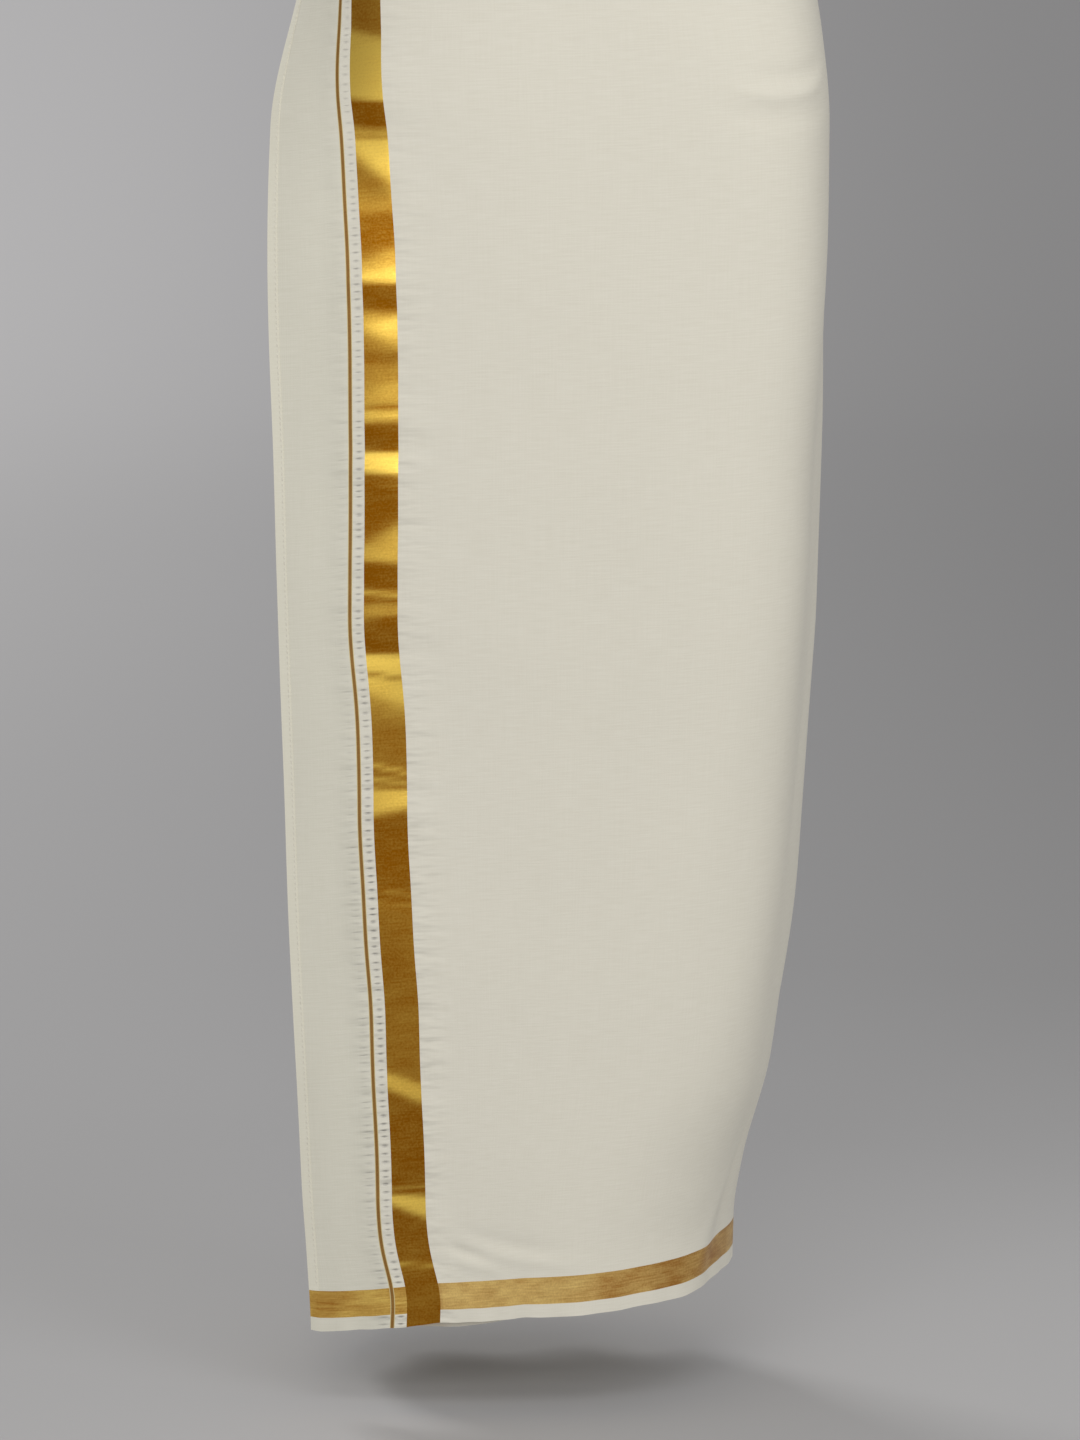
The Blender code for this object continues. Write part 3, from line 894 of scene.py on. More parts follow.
@dataclass(frozen=True)
class Dhoti:
    """The wound cloth, stretch by stretch."""

    relief: Relief = Relief()
    outer_rows: tuple[int, int, int] = (4, 7, 320)
    hidden_rows: tuple[int, int, int] = (3, 5, 170)
    front_columns: int = 58
    crowding: float = 1.25
    hair: float = 1e-7

    def _front_marks(self) -> list[float]:
        """Sets out the outer layer's columns, from the free edge to the right side.

        Returns:
            Their marks.
        """
        marks = []
        for start, stop, columns in (
            (0, END_HEM, 3),
            (END_HEM, LINE_START, 14),
            (LINE_START, GAP_START, 2),
            (GAP_START, BAND_START, 5),
            (BAND_START, BAND_STOP - self.hair, 10),
            (FLAP_MARK, FRONT_MARK, 26),
        ):
            marks += list(np.linspace(start, stop, columns + 1)[:-1])
        return marks + list(RIGHT_MARK - (1 - np.linspace(0, 1, self.front_columns + 1)) ** self.crowding)

    def _sew(self, stretch: Stretch, strips: list[Strip], extras: list[Object]) -> None:
        """Args:
            stretch: The stretch, laid out.
            strips: Its strips.
            extras: Other pieces on it; not used.
        """
        wall, *others = [strip.build(stretch) for strip in strips]
        flat = strips[0].flat_size(stretch)
        LOG.info("%s: a sheet of %.3f by %.3f m with %d strips", wall.name, *flat, len(others))

    def build(self, winding: Winding, finishes: Finishes) -> None:
        """Builds every strip.

        Args:
            winding: The wound cloth.
            finishes: The materials.
        """
        self._build_front(winding, finishes)
        cotton, gold = (Slot.CREAM, finishes.cotton), (Slot.GOLD, finishes.hem_gold)
        for name, start, stop, columns, rows in (
            ("back", RIGHT_MARK, LEFT_MARK, 104, self.outer_rows),
            ("under", LEFT_MARK, SECOND_RIGHT_MARK, 96, self.hidden_rows),
            ("inner", SECOND_RIGHT_MARK, INNER_END_MARK, 80, self.hidden_rows),
        ):
            stretch = Stretch(list(np.linspace(start, stop, columns + 1)), rows, self.relief)
            stretch.lay_out(winding)
            walls = (f"{name}_wrap_left", f"{name}_wrap_right")
            strips = [
                Strip(f"{name}_cloth", walls, start, stop, Reach.WALL, *cotton),
                Strip(f"{name}_hem_gold", (f"hem_band_{name}",), start, stop, Reach.BAND, *gold),
                Strip(f"{name}_selvedge", (f"selvedge_{name}",), start, stop, Reach.SELVEDGE, *cotton),
            ]
            self._sew(stretch, strips, [])

    def _build_front(self, winding: Winding, finishes: Finishes) -> None:
        """Builds the outer layer's strips.

        Args:
            winding: The wound cloth.
            finishes: The materials.
        """
        stretch = Stretch(self._front_marks(), self.outer_rows, self.relief)
        stretch.lay_out(winding)
        wall, band, edge, whole = Reach.WALL, Reach.BAND, Reach.SELVEDGE, Reach.WHOLE
        cream, gold, bronze = Slot
        strips = [
            Strip(name, (node,), start, stop, *rest)
            for name, node, start, stop, *rest in (
                ("front_cloth", "front_wrap", FLAP_MARK, RIGHT_MARK, wall, cream, finishes.cotton),
                ("end_hem_cloth", "end_hem", 0, END_HEM, wall, cream, finishes.doubled, 0.0010),
                ("end_margin_cloth", "end_margin", END_HEM, LINE_START, wall, cream, finishes.margin),
                ("end_line_thread", "end_line", LINE_START, GAP_START, whole, bronze, finishes.line),
                ("end_gap_cloth", "end_gap", GAP_START, BAND_START, wall, cream, finishes.cotton),
                ("end_band_gold", "end_band", BAND_START, FLAP_MARK, whole, gold, finishes.end_gold),
                ("margin_hem_gold", "hem_band_margin", 0, LINE_START, band, gold, finishes.margin_gold),
                ("gap_hem_gold", "hem_band_gap", GAP_START, BAND_START, band, gold, finishes.margin_gold),
                ("front_hem_gold", "hem_band_front", FLAP_MARK, RIGHT_MARK, band, gold, finishes.hem_gold),
                ("margin_selvedge", "selvedge_margin", 0, LINE_START, edge, cream, finishes.margin),
                ("gap_selvedge", "selvedge_gap", GAP_START, BAND_START, edge, cream, finishes.cotton),
                ("front_selvedge", "selvedge_front", FLAP_MARK, RIGHT_MARK, edge, cream, finishes.cotton),
            )
        ]
        self._sew(stretch, strips, [EndStitches().build(stretch, finishes.thread)])


@dataclass(frozen=True)
class EndStitches:
    """The running stitch that holds the turned hem of the outer end."""

    spacing: float = 0.0036
    length: float = 0.0023
    radius: float = 0.00021
    inset: float = 0.0012
    lift: float = 0.00058
    shortest: float = 0.86
    longest: float = 1.12
    seed: int = 4

    def _path(self, stretch: Stretch) -> Object:
        """Makes the line of stitching, an open chain of edges just proud of the cloth.

        Args:
            stretch: The outer layer's front.

        Returns:
            The chain, which starts above the hem's gold band.
        """
        column = stretch.index(END_HEM)
        inwards = unit(stretch.points[:, column] - stretch.points[:, column - 1])
        line = stretch.points[:, column] - inwards * self.inset + stretch.normals[:, column] * self.lift
        line = line[sum(stretch.rows[:2]) + 2 : -3]
        mesh = bpy.data.meshes.new("stitch_path")
        mesh.from_pydata(line.tolist(), [(k, k + 1) for k in range(len(line) - 1)], [])
        return place("stitch_path", mesh)

    def _tree(self) -> NodeTree:
        """Builds the node tree that sets a short thread at even steps along a path.

        Returns:
            The tree, with Spacing, Length, Radius and Thread inputs.
        """
        sizes = dict.fromkeys(("Spacing", "Length", "Radius"), "Float")
        inputs = {"Path": "Geometry", **sizes, "Thread": "Material"}
        wiring = new_tree("Running stitch", "GeometryNodeTree", inputs, {"Stitches": "Geometry"})
        given = wiring.outputs("NodeGroupInput")
        line = wiring.output("GeometryNodeMeshToCurve", "Curve", {"Mesh": given["Path"]})
        even = {"Curve": line, "Length": given["Spacing"]}
        steps = wiring.output("GeometryNodeResampleCurve", "Curve", even, mode="LENGTH")
        way = {"Vector": wiring.output("GeometryNodeInputTangent", "Tangent")}
        turned = wiring.output("FunctionNodeAlignRotationToVector", "Rotation", way, axis="Z")
        uneven = {"Min": self.shortest, "Max": self.longest, "Seed": self.seed}
        jitter = wiring.output("FunctionNodeRandomValue", 1, uneven, data_type="FLOAT")
        ball = wiring.output("GeometryNodeMeshUVSphere", "Mesh", {"Segments": 8, "Rings": 6})
        size = {"X": given["Radius"], "Y": given["Radius"], "Z": given["Length"] * 0.5}
        shape = {"Geometry": ball, "Scale": wiring.output("ShaderNodeCombineXYZ", "Vector", size)}
        stitch = wiring.output("GeometryNodeTransform", "Geometry", shape)
        sewn = {"Points": steps, "Instance": stitch, "Rotation": turned, "Scale": jitter}
        placed = wiring.output("GeometryNodeInstanceOnPoints", "Instances", sewn)
        real = wiring.output("GeometryNodeRealizeInstances", "Geometry", {"Geometry": placed})
        dressed = {"Geometry": real, "Material": given["Thread"]}
        stitches = wiring.output("GeometryNodeSetMaterial", "Geometry", dressed)
        wiring.node("NodeGroupOutput", {"Stitches": stitches})
        return wiring.tree

    def build(self, stretch: Stretch, thread: Material) -> Object:
        """Sews the hem.

        Args:
            stretch: The outer layer's front, which the stitches lie on.
            thread: The thread's material.

        Returns:
            The finished stitches, as one mesh.
        """
        path = self._path(stretch)
        modifier = path.modifiers.new("Stitches", "NODES")
        modifier.node_group = self._tree()
        values = {"Spacing": self.spacing, "Length": self.length, "Radius": self.radius, "Thread": thread}
        for socket in modifier.node_group.interface.items_tree:
            if socket.in_out == "INPUT" and socket.name in values:
                modifier[socket.identifier] = values[socket.name]
        graph = bpy.context.evaluated_depsgraph_get()
        mesh = bpy.data.meshes.new_from_object(path.evaluated_get(graph), depsgraph=graph)
        bpy.data.objects.remove(path)
        mesh.shade_smooth()
        piece = place("end_hem_stitches", mesh)
        hand_over(piece, Slot.CREAM)
        return piece


@dataclass(frozen=True)
class WaistRoll:
    """The top of the cloth, rolled outwards on itself to hold the winding up."""

    around: int = 432
    sides: int = 56
    height: float = ROLL_HEIGHT
    thickness: float = ROLL_THICKNESS
    squareness: float = 0.66
    lap_depth: float = 0.0013
    lap_soft: float = 0.0007

    def _profile(self) -> Array:
        """Works out the roll's outline across, an upright oval.

        Returns:
            Its points as (outwards, up), from the bottom round.
        """
        angles = np.linspace(-math.pi / 2, 1.5 * math.pi, self.sides + 1)[:-1]
        ways = np.stack([np.cos(angles), np.sin(angles)], axis=1)
        return np.sign(ways) * np.abs(ways) ** self.squareness * (self.thickness / 2, self.height / 2)

    @staticmethod
    def _wrinkle(angle: Array, up: Array) -> Array:
        """Works out the slanting wrinkles where the roll is twisted tight, some crisp and some soft.

        Args:
            angle: Angles round the waist.
            up: Heights on the roll.

        Returns:
            How far they push the roll's side out.
        """
        slant = 5 * angle + up * 90.0 + waves(angle, 0.0, (0.9, 2, 0, 0), (0.6, 5, 0, 1.0))
        crisp = 1 - np.abs(np.sin(slant))
        second = 1 - np.abs(np.sin(3.5 * angle + up * 55.0 + 1.2 * np.sin(3 * angle + 0.5)))
        soft = waves(angle, up, (1, 14, 150.0, 1.1), (0.6, 27, -170.0, np.sin(4 * angle)))
        swell = waves(angle, 0.0, (1, 2, 0, 0.4), (0.6, 5, 0, 2.0))
        return 0.0014 * crisp**5 + 0.0008 * second**4 - 0.00025 * soft - 0.00035 * swell - 0.0009

    def _lap(self, angle: Array, up: Array) -> Array:
        """The step where the roll's outer turn ends, a line that wanders round its outside."""
        line = -0.0048 + waves(angle, 0.0, (0.0020, 2, 0, 0.6), (0.0009, 7, 0, 0))
        return -self.lap_depth * (0.5 - 0.5 * np.tanh((up - line) / self.lap_soft))

    def build(self, cotton: Material) -> Object:
        """Makes the roll.

        Args:
            cotton: Its material.

        Returns:
            The finished piece.
        """
        turns = np.arange(self.around) * 4 / self.around
        centres, normals = Outline(-self.height).tube(turns)
        profile = self._profile()
        out, up = profile.T[:, None, :]
        angle, half = turns[:, None] * math.pi / 2, self.thickness / 2
        relief = self._wrinkle(angle, up) + self._lap(angle, up) * np.clip(out / half, 0, 1)
        flat = centres[:, None] + normals[:, None] * (out * (1 + relief / half))[:, :, None]
        ride = -0.0006 + waves(angle, 0.0, (0.0006, 3, 0, 1.2), (0.0004, 8, 0, 0))
        vertices = np.concatenate([flat, (up - self.height / 2 + ride)[:, :, None]], axis=2).reshape(-1, 3)
        index = np.arange(len(vertices)).reshape(self.around, self.sides)
        faces = ring_faces(index, np.roll(index, -1, axis=0))
        piece = make_piece("waist_roll_cloth", vertices.tolist(), faces, cotton)
        girth = lengths_along(np.concatenate([centres, centres[:1]]))
        ring = lengths_along(np.concatenate([profile, profile[:1]]))
        near, far, low, high = girth[:-1], girth[1:], ring[:-1], ring[1:]
        u = ROLL_PLACE + np.stack([near, far, far, near], axis=-1)[:, None]
        v = np.stack([low, low, high, high], axis=-1)[None]
        write_places(piece, np.stack(np.broadcast_arrays(u, v), axis=-1), np.zeros(len(vertices)))
        hand_over(piece, Slot.CREAM, "waist_roll")
        LOG.info("waist_roll_cloth: %.3f m round", girth[-1])
        return piece


class Signal:
    """A node's output, which can be used in sums. Each sum adds a Math node."""

    def __init__(self, wiring: Wiring, socket: NodeSocket) -> None:
        """Keeps the socket and its tree's wiring."""
        self.wiring = wiring
        self.socket = socket

    def math(self, operation: str, other: Signal | float = 0.0) -> Signal:
        """The result of a Math node that has Blender's name for its operation."""
        return self.wiring.output("ShaderNodeMath", 0, {0: self, 1: other}, operation=operation)

    def __add__(self, other: Signal | float) -> Signal:
        """Adds."""
        return self.math("ADD", other)

    def __sub__(self, other: Signal | float) -> Signal:
        """Subtracts."""
        return self.math("SUBTRACT", other)

    def __mul__(self, other: Signal | float) -> Signal:
        """Multiplies."""
        return self.math("MULTIPLY", other)

    def __truediv__(self, other: Signal | float) -> Signal:
        """Divides."""
        return self.math("DIVIDE", other)

    def bell(self, centre: float = 0.0, width: float = 1.0) -> Signal:
        """A smooth peak of height 1 round a centre."""
        away = (self - centre) / width
        return (away * away * -1.0).math("EXPONENT")


class Wiring:
    """Short forms for building a node tree."""

    def __init__(self, tree: NodeTree) -> None:
        """Keeps the tree that it wires."""
        self.tree = tree

    def put(self, node: Node, inputs: Inputs) -> None:
        """Fills a node's inputs.

        Args:
            node: The node.
            inputs: What each input holds, another node's output or a value of its own.
        """
        for name, value in inputs.items():
            if isinstance(value, Signal):
                self.tree.links.new(value.socket, node.inputs[name])
            else:
                node.inputs[name].default_value = value

    def node(self, kind: str, inputs: Inputs | None = None, **settings: object) -> Node:
        """Adds a node.

        Args:
            kind: Its Blender type.
            inputs: What its inputs hold.
            **settings: Its properties.

        Returns:
            The new node.
        """
        made = self.tree.nodes.new(kind)
        for name, value in settings.items():
            setattr(made, name, value)
        self.put(made, inputs or {})
        return made

    def output(self, kind: str, name: str | int, inputs: Inputs | None = None, **settings: object) -> Signal:
        """Adds a node and gives one of its outputs."""
        return Signal(self, self.node(kind, inputs, **settings).outputs[name])

    def outputs(self, kind: str, inputs: Inputs | None = None, **settings: object) -> dict[str, Signal]:
        """Adds a node and gives all its outputs by name."""
        made = self.node(kind, inputs, **settings)
        return {socket.name: Signal(self, socket) for socket in made.outputs}

    def group(self, name: str, **inputs: float) -> dict[str, Signal]:
        """Places a shared group with values of its own, and gives its outputs."""
        return self.outputs("ShaderNodeGroup", node_tree=bpy.data.node_groups[name], inputs=inputs)

    def noise(self, x: Signal | float, y: Signal, detail: float) -> Signal:
        """Adds a flat noise.

        Args:
            x: Its first coordinate.
            y: Its second coordinate.
            detail: How many finer layers it has.

        Returns:
            The noise, from 0 to 1.
        """
        vector = self.output("ShaderNodeCombineXYZ", 0, {"X": x, "Y": y})
        inputs = {"Vector": vector, "Scale": 1.0, "Detail": detail}
        return self.output("ShaderNodeTexNoise", "Fac", inputs, noise_dimensions="2D")

    def mix(self, share: Signal, a: Signal | Colour, b: Signal | Colour) -> Signal:
        """Adds a mix of two colours."""
        return self.output("ShaderNodeMix", 2, {0: share, 6: a, 7: b}, data_type="RGBA")

    def smooth(self, value: Signal, low: float, high: float) -> Signal:
        """Adds a smooth step from 0 to 1 between two values."""
        reach = {"Value": value, "From Min": low, "From Max": high}
        return self.output("ShaderNodeMapRange", "Result", reach, interpolation_type="SMOOTHSTEP")

    def bump(self, height: Signal, distance: float, strength: float, **under: Signal) -> Signal:
        """Adds a Bump node, on the normal under it if there is one."""
        inputs = {"Strength": strength, "Distance": distance, "Height": height, **under}
        return self.output("ShaderNodeBump", "Normal", inputs)

    def places(self) -> tuple[Signal, Signal]:
        """Length along the cloth and height above its hem, in metres."""
        split = self.outputs("ShaderNodeSeparateXYZ", {0: self.output("ShaderNodeUVMap", 0, uv_map=UV_NAME)})
        return split["X"], split["Y"]


def new_tree(name: str, kind: str, inputs: dict[str, str], outputs: dict[str, str]) -> Wiring:
    """Makes an empty node group.

    Args:
        name: Its name.
        kind: Its Blender type.
        inputs: The name and kind of each input.
        outputs: The name and kind of each output.

    Returns:
        Its wiring.
    """
    tree = bpy.data.node_groups.new(name, kind)
    for way, sockets in (("INPUT", inputs), ("OUTPUT", outputs)):
        for socket, holds in sockets.items():
            tree.interface.new_socket(socket, in_out=way, socket_type=f"NodeSocket{holds}")
    return Wiring(tree)


def new_effect(name: str, inputs: list[str], outputs: list[str]) -> tuple[Wiring, dict, Signal, Signal]:
    """Starts a shader group of numbers.

    Args:
        name: Its name.
        inputs: Its inputs' names.
        outputs: Its outputs' names.

    Returns:
        Its wiring, its inputs by name, and the length along the cloth and the height above its hem.
    """
    numbers = (dict.fromkeys(sockets, "Float") for sockets in (inputs, outputs))
    wiring = new_tree(name, "ShaderNodeTree", *numbers)
    return wiring, wiring.outputs("NodeGroupInput"), *wiring.places()


def build_weave() -> None:
    """Builds the plain weave: crossing threads, and thicker ones that run along the cloth and up it."""
    wiring, given, x, y = new_effect("Plain weave", ["Thread", "Slub"], ["Tone", "Height"])
    weft, warp = ((way * math.pi / given["Thread"]).math("SINE") for way in (x, y))
    threads = (weft * warp).math("ABSOLUTE")
    slubs = wiring.noise(x * 55.0, y * 1050.0, 3.0) * 0.7 + wiring.noise(x * 900.0, y * 32.0, 2.0) * 0.3
    centred = (slubs - 0.5) * given["Slub"]
    wiring.node("NodeGroupOutput", {"Tone": centred + 0.5, "Height": threads * 0.35 + centred})


def build_pucker() -> None:
    """Builds the small level puckers where the border's tight threads draw the cloth in.

    They are strongest beside the border, fade to both sides, and deepen towards the hem. In the plain gap
    they show as a ladder of short dashes, and beside the thin line as a fainter one: dips in the cloth, with
    painted shade in them.
    """
    wiring, given, x, y = new_effect("Border pucker", ["Left", "Right", "Step"], ["Height", "Dash"])
    left = (x * -1.0 + LINE_START) / given["Left"]
    right = (x - BAND_STOP) / given["Right"]
    near = left.math("MAXIMUM", right).math("MAXIMUM", 0.0).bell()
    fine = wiring.noise(x * 42.0, y * 190.0, 1.0)
    broad = wiring.noise(x * 22.0, y * 70.0, 1.0)
    uneven = wiring.noise(x * 4.0, y * 22.0, 1.0)
    low = y * -0.85 + 1.15
    strength = near * low * (uneven + 0.3)
    warp = wiring.noise(0.0, y * 60.0, 1.0) * 1.6
    tick = (y / given["Step"] + warp).math("FRACT").bell(0.5, 0.13)
    inside = x.bell((GAP_START + BAND_START) / 2, 0.0019)
    outer = x.bell(LINE_START - 0.0042, 0.0030)
    reach = inside + outer * (low * 0.6 - 0.25).math("MAXIMUM", 0.0)
    # The dashes: a dip in the height, and painted shade in the cotton's colour
    dash = tick * reach * (uneven + 0.25) * low
    raised = (fine * 0.55 + broad * 0.9) * strength - dash * 0.35
    wiring.node("NodeGroupOutput", {"Dash": dash, "Height": raised})


def build_zari() -> None:
    """Builds the metal thread: close ribs along the weft, with uneven tone and flecks."""
    wiring, given, x, y = new_effect("Zari", ["Rib", "Fleck"], ["Tone", "Height"])
    rib = (y * (2 * math.pi) / given["Rib"]).math("SINE")
    streak = wiring.noise(x * 60.0, y * 900.0, 3.0)
    cloud = wiring.noise(x * 38.0, y * 85.0, 2.0)
    flecks = (wiring.noise(x * 650.0, y * 650.0, 2.0) - 0.5) * given["Fleck"]
    tone = streak * 0.45 + cloud * 0.55 + flecks
    wiring.node("NodeGroupOutput", {"Tone": tone, "Height": rib * 0.12 + streak * 0.5 + flecks})


class Finish:
    """A finish, which its own class describes and this one makes into a material."""

    name: str

    def looks(self, wiring: Wiring) -> Inputs:
        """Lays out the finish's nodes and says what each of the shader's sockets holds."""
        raise NotImplementedError

    def build(self) -> Material:
        """Makes the material.

        Returns:
            The material.
        """
        material = bpy.data.materials.new(self.name)
        material.use_nodes = True
        wiring = Wiring(material.node_tree)
        wiring.put(material.node_tree.nodes["Principled BSDF"], self.looks(wiring))
        return material


@dataclass(frozen=True)
class CottonFinish(Finish):
    """Ironed cream cotton in a fine plain weave."""

    name: str = "Cream cotton"
    light: Colour = (0.80, 0.765, 0.655, 1)
    dark: Colour = (0.70, 0.66, 0.545, 1)
    # Painted shade in the puckers' dashes
    dash: Colour = (0.40, 0.375, 0.35, 1)
    sheen_tint: Colour = (1.0, 0.97, 0.90, 1)
    roughness: float = 0.78
    sheen: float = 0.22
    thread: float = 0.0007
    slub: float = 1.0
    bump: float = 0.00022
    pucker: float = 0.0034

    def looks(self, wiring: Wiring) -> Inputs:
        """Weaves the cotton, draws it in beside the border, and paints shade into the puckers' dashes.

        Args:
            wiring: The material's wiring.

        Returns:
            What each of the shader's sockets holds.
        """
        weave = wiring.group("Plain weave", Thread=self.thread, Slub=self.slub)
        pucker = wiring.group("Border pucker", Left=0.010, Right=0.018, Step=0.0051)
        cloth = wiring.mix(weave["Tone"], self.dark, self.light)
        drawn = wiring.bump(pucker["Height"], self.pucker, 1.0)
        return {
            # Painted shade darkens the cloth in the puckers' dashes
            "Base Color": wiring.mix((pucker["Dash"] * 0.75).math("MINIMUM", 1.0), cloth, self.dash),
            "Roughness": weave["Tone"] * -0.08 + (self.roughness + 0.04),
            "Sheen Weight": self.sheen,
            "Sheen Roughness": 0.4,
            "Sheen Tint": self.sheen_tint,
            "Specular IOR Level": 0.35,
            "Normal": wiring.bump(weave["Height"], self.bump, 0.5, Normal=drawn),
        }


@dataclass(frozen=True)
class ZariFinish(Finish):
    """Cloth woven dense with metal thread, with painted highlight and painted shade in its colour."""

    name: str
    # bright and dark are the colours of the painted highlight and painted shade, which the thread's uneven
    # tone also mixes
    bright: Colour
    dark: Colour
    roughness: float
    metallic: float
    rib: float
    fleck: float
    bump: float
    tone_share: float
    glint_share: float
    depth: float = 1.0

    def looks(self, wiring: Wiring) -> Inputs:
        """Weaves the metal thread, and paints highlight and shade into its colour where the cloth tilts.

        Args:
            wiring: The material's wiring.

        Returns:
            What each of the shader's sockets holds.
        """
        zari = wiring.group("Zari", Rib=self.rib, Fleck=self.fleck)
        glint = wiring.output("ShaderNodeAttribute", "Fac", attribute_name=GLINT_NAME)
        # lit is the painted highlight and shade, from the glint attribute; it sets the base colour's mix
        lit = (glint * (self.glint_share / 2) + 0.5).math("POWER", self.depth)
        share = lit * 0.94 + 0.04 + (zari["Tone"] - 0.5) * self.tone_share
        return {
            "Base Color": wiring.mix(share.math("MAXIMUM").math("MINIMUM", 1.0), self.dark, self.bright),
            "Metallic": self.metallic,
            "Roughness": zari["Tone"] * -0.10 + (self.roughness + 0.05),
            "Normal": wiring.bump(zari["Height"], self.bump, 0.6),
        }


@dataclass(frozen=True)
class LineFinish(Finish):
    """The thin bronze line, with a pale yellow thread along each side."""

    name: str = "Bronze line"
    core: Colour = (0.22, 0.095, 0.012, 1)
    worn: Colour = (0.36, 0.19, 0.035, 1)
    fringe: Colour = (0.80, 0.68, 0.36, 1)
    fringe_width: float = 0.0008
    roughness: float = 0.5
    metallic: float = 0.35

    def looks(self, wiring: Wiring) -> Inputs:
        """Weaves the bronze thread, with its pale sides.

        Args:
            wiring: The material's wiring.

        Returns:
            What each of the shader's sockets holds.
        """
        zari = wiring.group("Zari", Rib=0.0012, Fleck=0.5)
        middle, half = (LINE_START + GAP_START) / 2, (GAP_START - LINE_START) / 2
        away = (wiring.places()[0] - middle).math("ABSOLUTE")
        core = wiring.mix(zari["Tone"], self.core, self.worn)
        return {
            "Base Color": wiring.mix(wiring.smooth(away, half - self.fringe_width, half), core, self.fringe),
            "Metallic": self.metallic,
            "Roughness": self.roughness,
            "Normal": wiring.bump(zari["Height"], 0.00012, 0.6),
        }


@dataclass(frozen=True)
class ThreadFinish(Finish):
    """The cream sewing thread."""

    name: str = "Sewing thread"
    light: Colour = (0.78, 0.74, 0.63, 1)
    dark: Colour = (0.624, 0.592, 0.504, 1)
    grain: float = 4200.0

    def looks(self, wiring: Wiring) -> Inputs:
        """Mottles the thread.

        Args:
            wiring: The material's wiring.

        Returns:
            What each of the shader's sockets holds.
        """
        grain = {"Vector": wiring.output("ShaderNodeTexCoord", "Object"), "Scale": self.grain}
        tone = wiring.output("ShaderNodeTexNoise", "Fac", grain)
        return {"Base Color": wiring.mix(tone, self.dark, self.light), "Roughness": 0.6}


@dataclass(frozen=True)
class PaperFinish(Finish):
    """The floor's matt paper, whose grey changes outwards and from left to right, as painted light and
    painted shade.

    left and right are the greys at shares of its reach outwards, first and last before those between.
    """

    name: str = "Studio paper"
    reach: float = 10.0
    left_edge: float = -1.3
    right_edge: float = 1.2
    left: tuple = (
        (0.10, 0.43), (1.00, 0.79), (0.14, 0.48), (0.27, 0.48), (0.48, 0.48), (0.62, 0.55), (0.80, 0.75),
    )
    right: tuple = (
        (0.10, 0.52), (1.00, 0.45), (0.13, 0.38), (0.18, 0.29), (0.40, 0.28), (0.60, 0.32), (0.80, 0.43),
    )

    @staticmethod
    def _ramp(wiring: Wiring, share: Signal, stops: tuple) -> Signal:
        """Adds a smooth ramp of greys.

        Args:
            wiring: The material's wiring.
            share: Where on the ramp, from 0 to 1.
            stops: Each stop's place and grey.

        Returns:
            The grey.
        """
        made = wiring.node("ShaderNodeValToRGB", {"Fac": share})
        made.color_ramp.interpolation = "B_SPLINE"
        elements = made.color_ramp.elements
        for count, (spot, grey) in enumerate(stops):
            stop = elements[count] if count < len(elements) else elements.new(spot)
            stop.position = spot
            stop.color = (grey, 0.985 * grey, 0.98 * grey, 1)
        return Signal(wiring, made.outputs["Color"])

    def looks(self, wiring: Wiring) -> Inputs:
        """Blends the left side's greys into the right side's.

        Args:
            wiring: The material's wiring.

        Returns:
            What each of the shader's sockets holds.
        """
        where = wiring.output("ShaderNodeTexCoord", "Object")
        split = wiring.outputs("ShaderNodeSeparateXYZ", {0: where})
        across = wiring.smooth(split["X"], self.left_edge, self.right_edge)
        outwards = wiring.output("ShaderNodeVectorMath", "Value", {0: where}, operation="LENGTH")
        left, right = (self._ramp(wiring, outwards / self.reach, stops) for stops in (self.left, self.right))
        return {"Base Color": wiring.mix(across, left, right), "Roughness": 0.9, "Specular IOR Level": 0.2}


@dataclass(frozen=True)
class Finishes:
    """Every material of the dhoti."""

    cotton: Material
    doubled: Material
    margin: Material
    end_gold: Material
    hem_gold: Material
    margin_gold: Material
    line: Material
    thread: Material

    @classmethod
    def make(cls) -> Finishes:
        """Builds the shared groups and then every material.

        Returns:
            The materials.
        """
        build_weave()
        build_pucker()
        build_zari()
        doubled = CottonFinish("Doubled cotton", light=(0.83, 0.795, 0.665, 1), dark=(0.75, 0.715, 0.58, 1))
        margin = CottonFinish("Single cotton", light=(0.775, 0.745, 0.63, 1), dark=(0.68, 0.65, 0.53, 1))
        end_gold = ZariFinish(
            name="End zari", bright=(0.96, 0.66, 0.12, 1), dark=(0.36, 0.125, 0.003, 1), roughness=0.32,
            metallic=1.0, rib=0.0011, fleck=0.7, bump=0.00005, tone_share=0.50, glint_share=0.95, depth=1.6,
        )
        hem_gold = ZariFinish(
            name="Hem zari", bright=(1.0, 0.72, 0.25, 1), dark=(0.48, 0.22, 0.04, 1), roughness=0.40,
            metallic=0.7, rib=0.0012, fleck=0.3, bump=0.00014, tone_share=1.5, glint_share=0.7,
        )
        margin_gold = ZariFinish(
            name="Margin zari", bright=(1.0, 0.69, 0.17, 1), dark=(0.50, 0.22, 0.028, 1), roughness=0.38,
            metallic=0.8, rib=0.0012, fleck=0.2, bump=0.00014, tone_share=2.0, glint_share=0.3,
        )
        golds = (end_gold, hem_gold, margin_gold)
        chosen = (CottonFinish(), doubled, margin, *golds, LineFinish(), ThreadFinish())
        return cls(*(finish.build() for finish in chosen))


class Softbox(NamedTuple):
    """A square studio light."""

    name: str
    place: tuple[float, float, float]
    aim: tuple[float, float, float]
    size: tuple[float, float]
    power: float


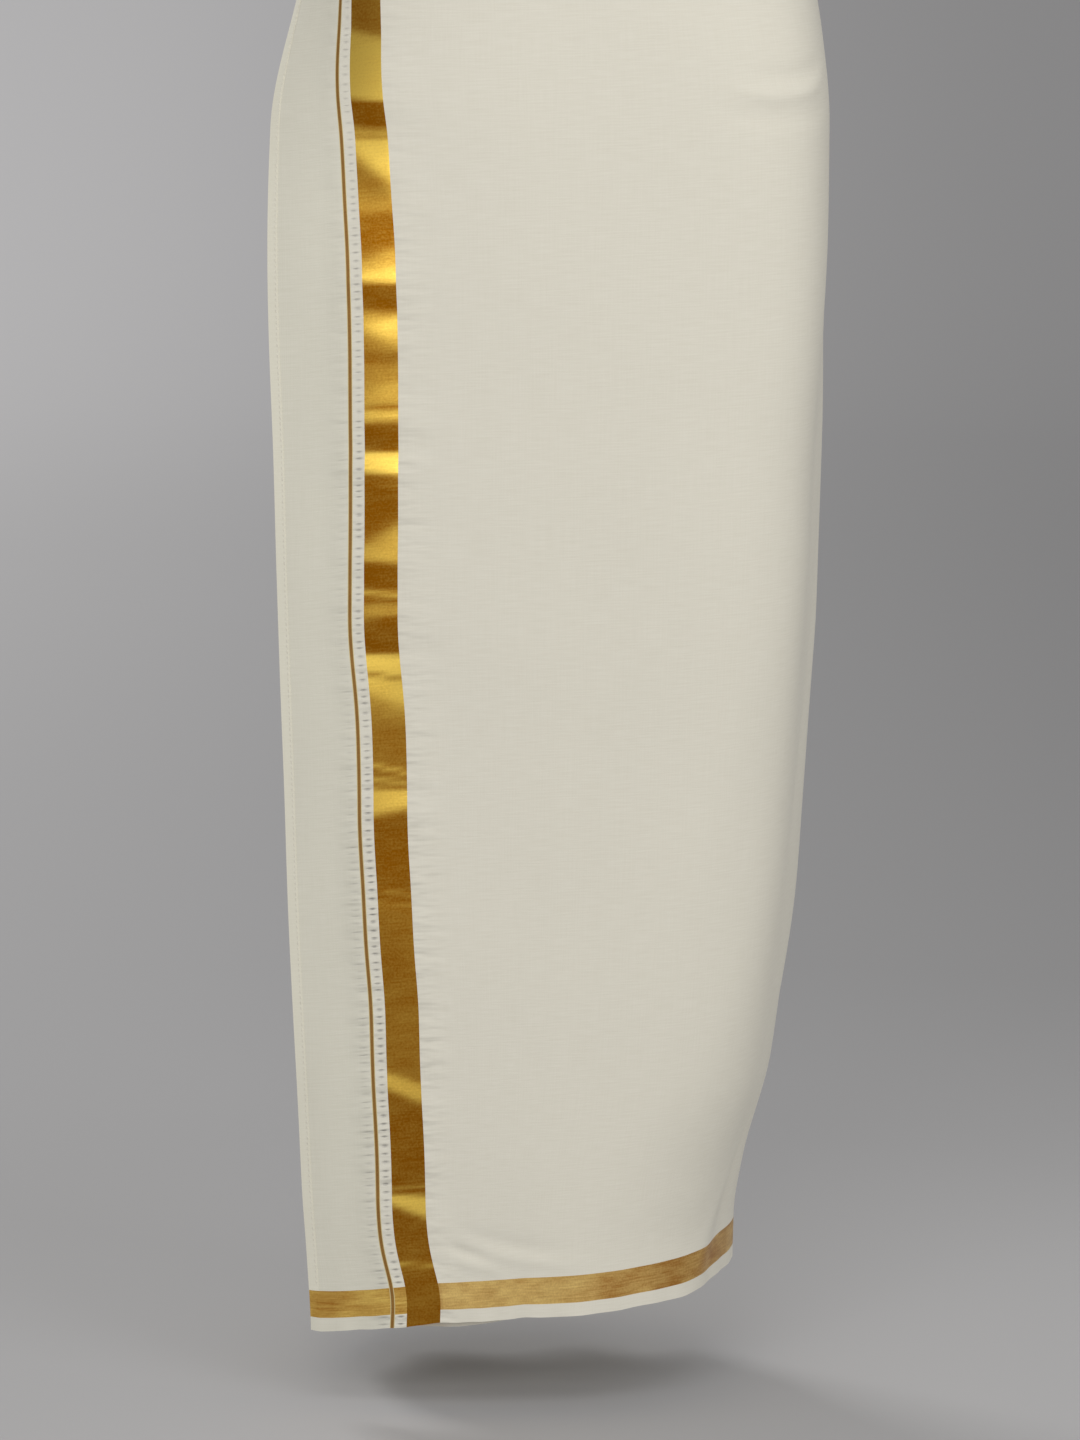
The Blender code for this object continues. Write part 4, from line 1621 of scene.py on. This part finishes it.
@dataclass(frozen=True)
class Studio:
    """The round floor with its curved rim, the lights and the camera."""

    floor: float = -1.062
    flat_radius: float = 6.4
    curve: float = 2.4
    curve_steps: int = 20
    rim: float = 6.0
    around: int = 96
    camera_place: tuple[float, float, float] = (-0.016, -3.8, -0.0606)
    camera_aim: tuple[float, float, float] = (-0.016, 0.0, -0.6218)
    frame_height: float = 0.9579
    sensor: float = 36.0
    world: float = 0.39
    world_colour: Colour = (0.98, 0.98, 1.0, 1)
    softboxes: tuple[Softbox, ...] = (
        Softbox("Key", (-0.9, -3.7, 1.0), (0, 0, -0.5), (2.0, 2.0), 37.0),
        Softbox("Fill", (2.5, -2.7, 0.3), (0, 0, -0.6), (1.9, 1.9), 33.0),
        Softbox("Top", (0.1, -1.7, 1.9), (0, 0, -0.8), (2.2, 1.0), 14.0),
        Softbox("Low", (-0.7, -4.6, -0.1), (0, 0, -0.6), (1.8, 0.7), 8.0),
        Softbox("Rear", (-3.4, 5.4, 4.2), (0, 0, -0.5), (2.4, 2.4), 200.0),
    )

    def build(self) -> None:
        """Sets up the whole studio."""
        self._bowl()
        for softbox in self.softboxes:
            self._light(softbox)
        self._camera()
        world = bpy.data.worlds.new("Studio")
        world.use_nodes = True
        light = {"Color": self.world_colour, "Strength": self.world}
        Wiring(world.node_tree).put(world.node_tree.nodes["Background"], light)
        bpy.context.scene.world = world
        bpy.context.scene.view_settings.view_transform = "Standard"
        LOG.info("studio: %d lights", len(self.softboxes))

    def _bowl(self) -> None:
        """Makes a pale round floor that curves up into a backdrop on every side."""
        profile = [(self.flat_radius, self.floor)]
        for step in range(1, self.curve_steps + 1):
            angle = math.pi / 2 * step / self.curve_steps
            across = self.flat_radius + self.curve * math.sin(angle)
            profile.append((across, self.floor + self.curve * (1 - math.cos(angle))))
        profile.append((self.flat_radius + self.curve, self.rim))
        points = [(0.0, 0.0, self.floor)]
        for radius, height in profile:
            for step in range(self.around):
                angle = 2 * math.pi * step / self.around
                points.append((radius * math.cos(angle), radius * math.sin(angle), height))
        middle = [(0, 1 + step, 1 + (step + 1) % self.around) for step in range(self.around)]
        rings = 1 + np.arange(len(profile) * self.around).reshape(len(profile), self.around)
        faces = middle + ring_faces(rings[:-1], rings[1:])
        bowl = make_piece("studio_bowl", points, faces, PaperFinish().build())
        bowl.visible_diffuse = False

    @staticmethod
    def _set_up(thing: Object, stand: tuple, aim: tuple) -> float:
        """Stands a light or the camera in its place, turned to its aim.

        Args:
            thing: The light or the camera.
            stand: Its place.
            aim: Its aim.

        Returns:
            The distance between the two.
        """
        way = Vector(aim) - Vector(stand)
        thing.location = stand
        thing.rotation_euler = way.to_track_quat("-Z", "Y").to_euler()
        return way.length

    def _light(self, softbox: Softbox) -> None:
        """Adds a softbox.

        Args:
            softbox: The softbox.
        """
        data = bpy.data.lights.new(softbox.name, "AREA")
        data.shape = "RECTANGLE"
        data.size, data.size_y = softbox.size
        data.energy = softbox.power
        lamp = place(softbox.name, data)
        lamp.visible_camera = False
        self._set_up(lamp, softbox.place, softbox.aim)

    def _camera(self) -> None:
        """Adds the camera, which frames the cloth from below the waist to the floor."""
        data = bpy.data.cameras.new("Camera")
        camera = place("Camera", data)
        data.sensor_fit = "VERTICAL"
        data.sensor_height = self.sensor
        distance = self._set_up(camera, self.camera_place, self.camera_aim)
        data.lens = self.sensor * distance / self.frame_height
        bpy.context.scene.camera = camera


def main() -> None:
    """Builds the dressed dhoti and its studio."""
    logging.basicConfig(level=logging.INFO, format="%(name)s: %(message)s")
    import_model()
    Studio().build()
    finishes = Finishes.make()
    WaistRoll().build(finishes.cotton)
    Dhoti().build(Winding(), finishes)


if __name__ == "__main__":
    main()
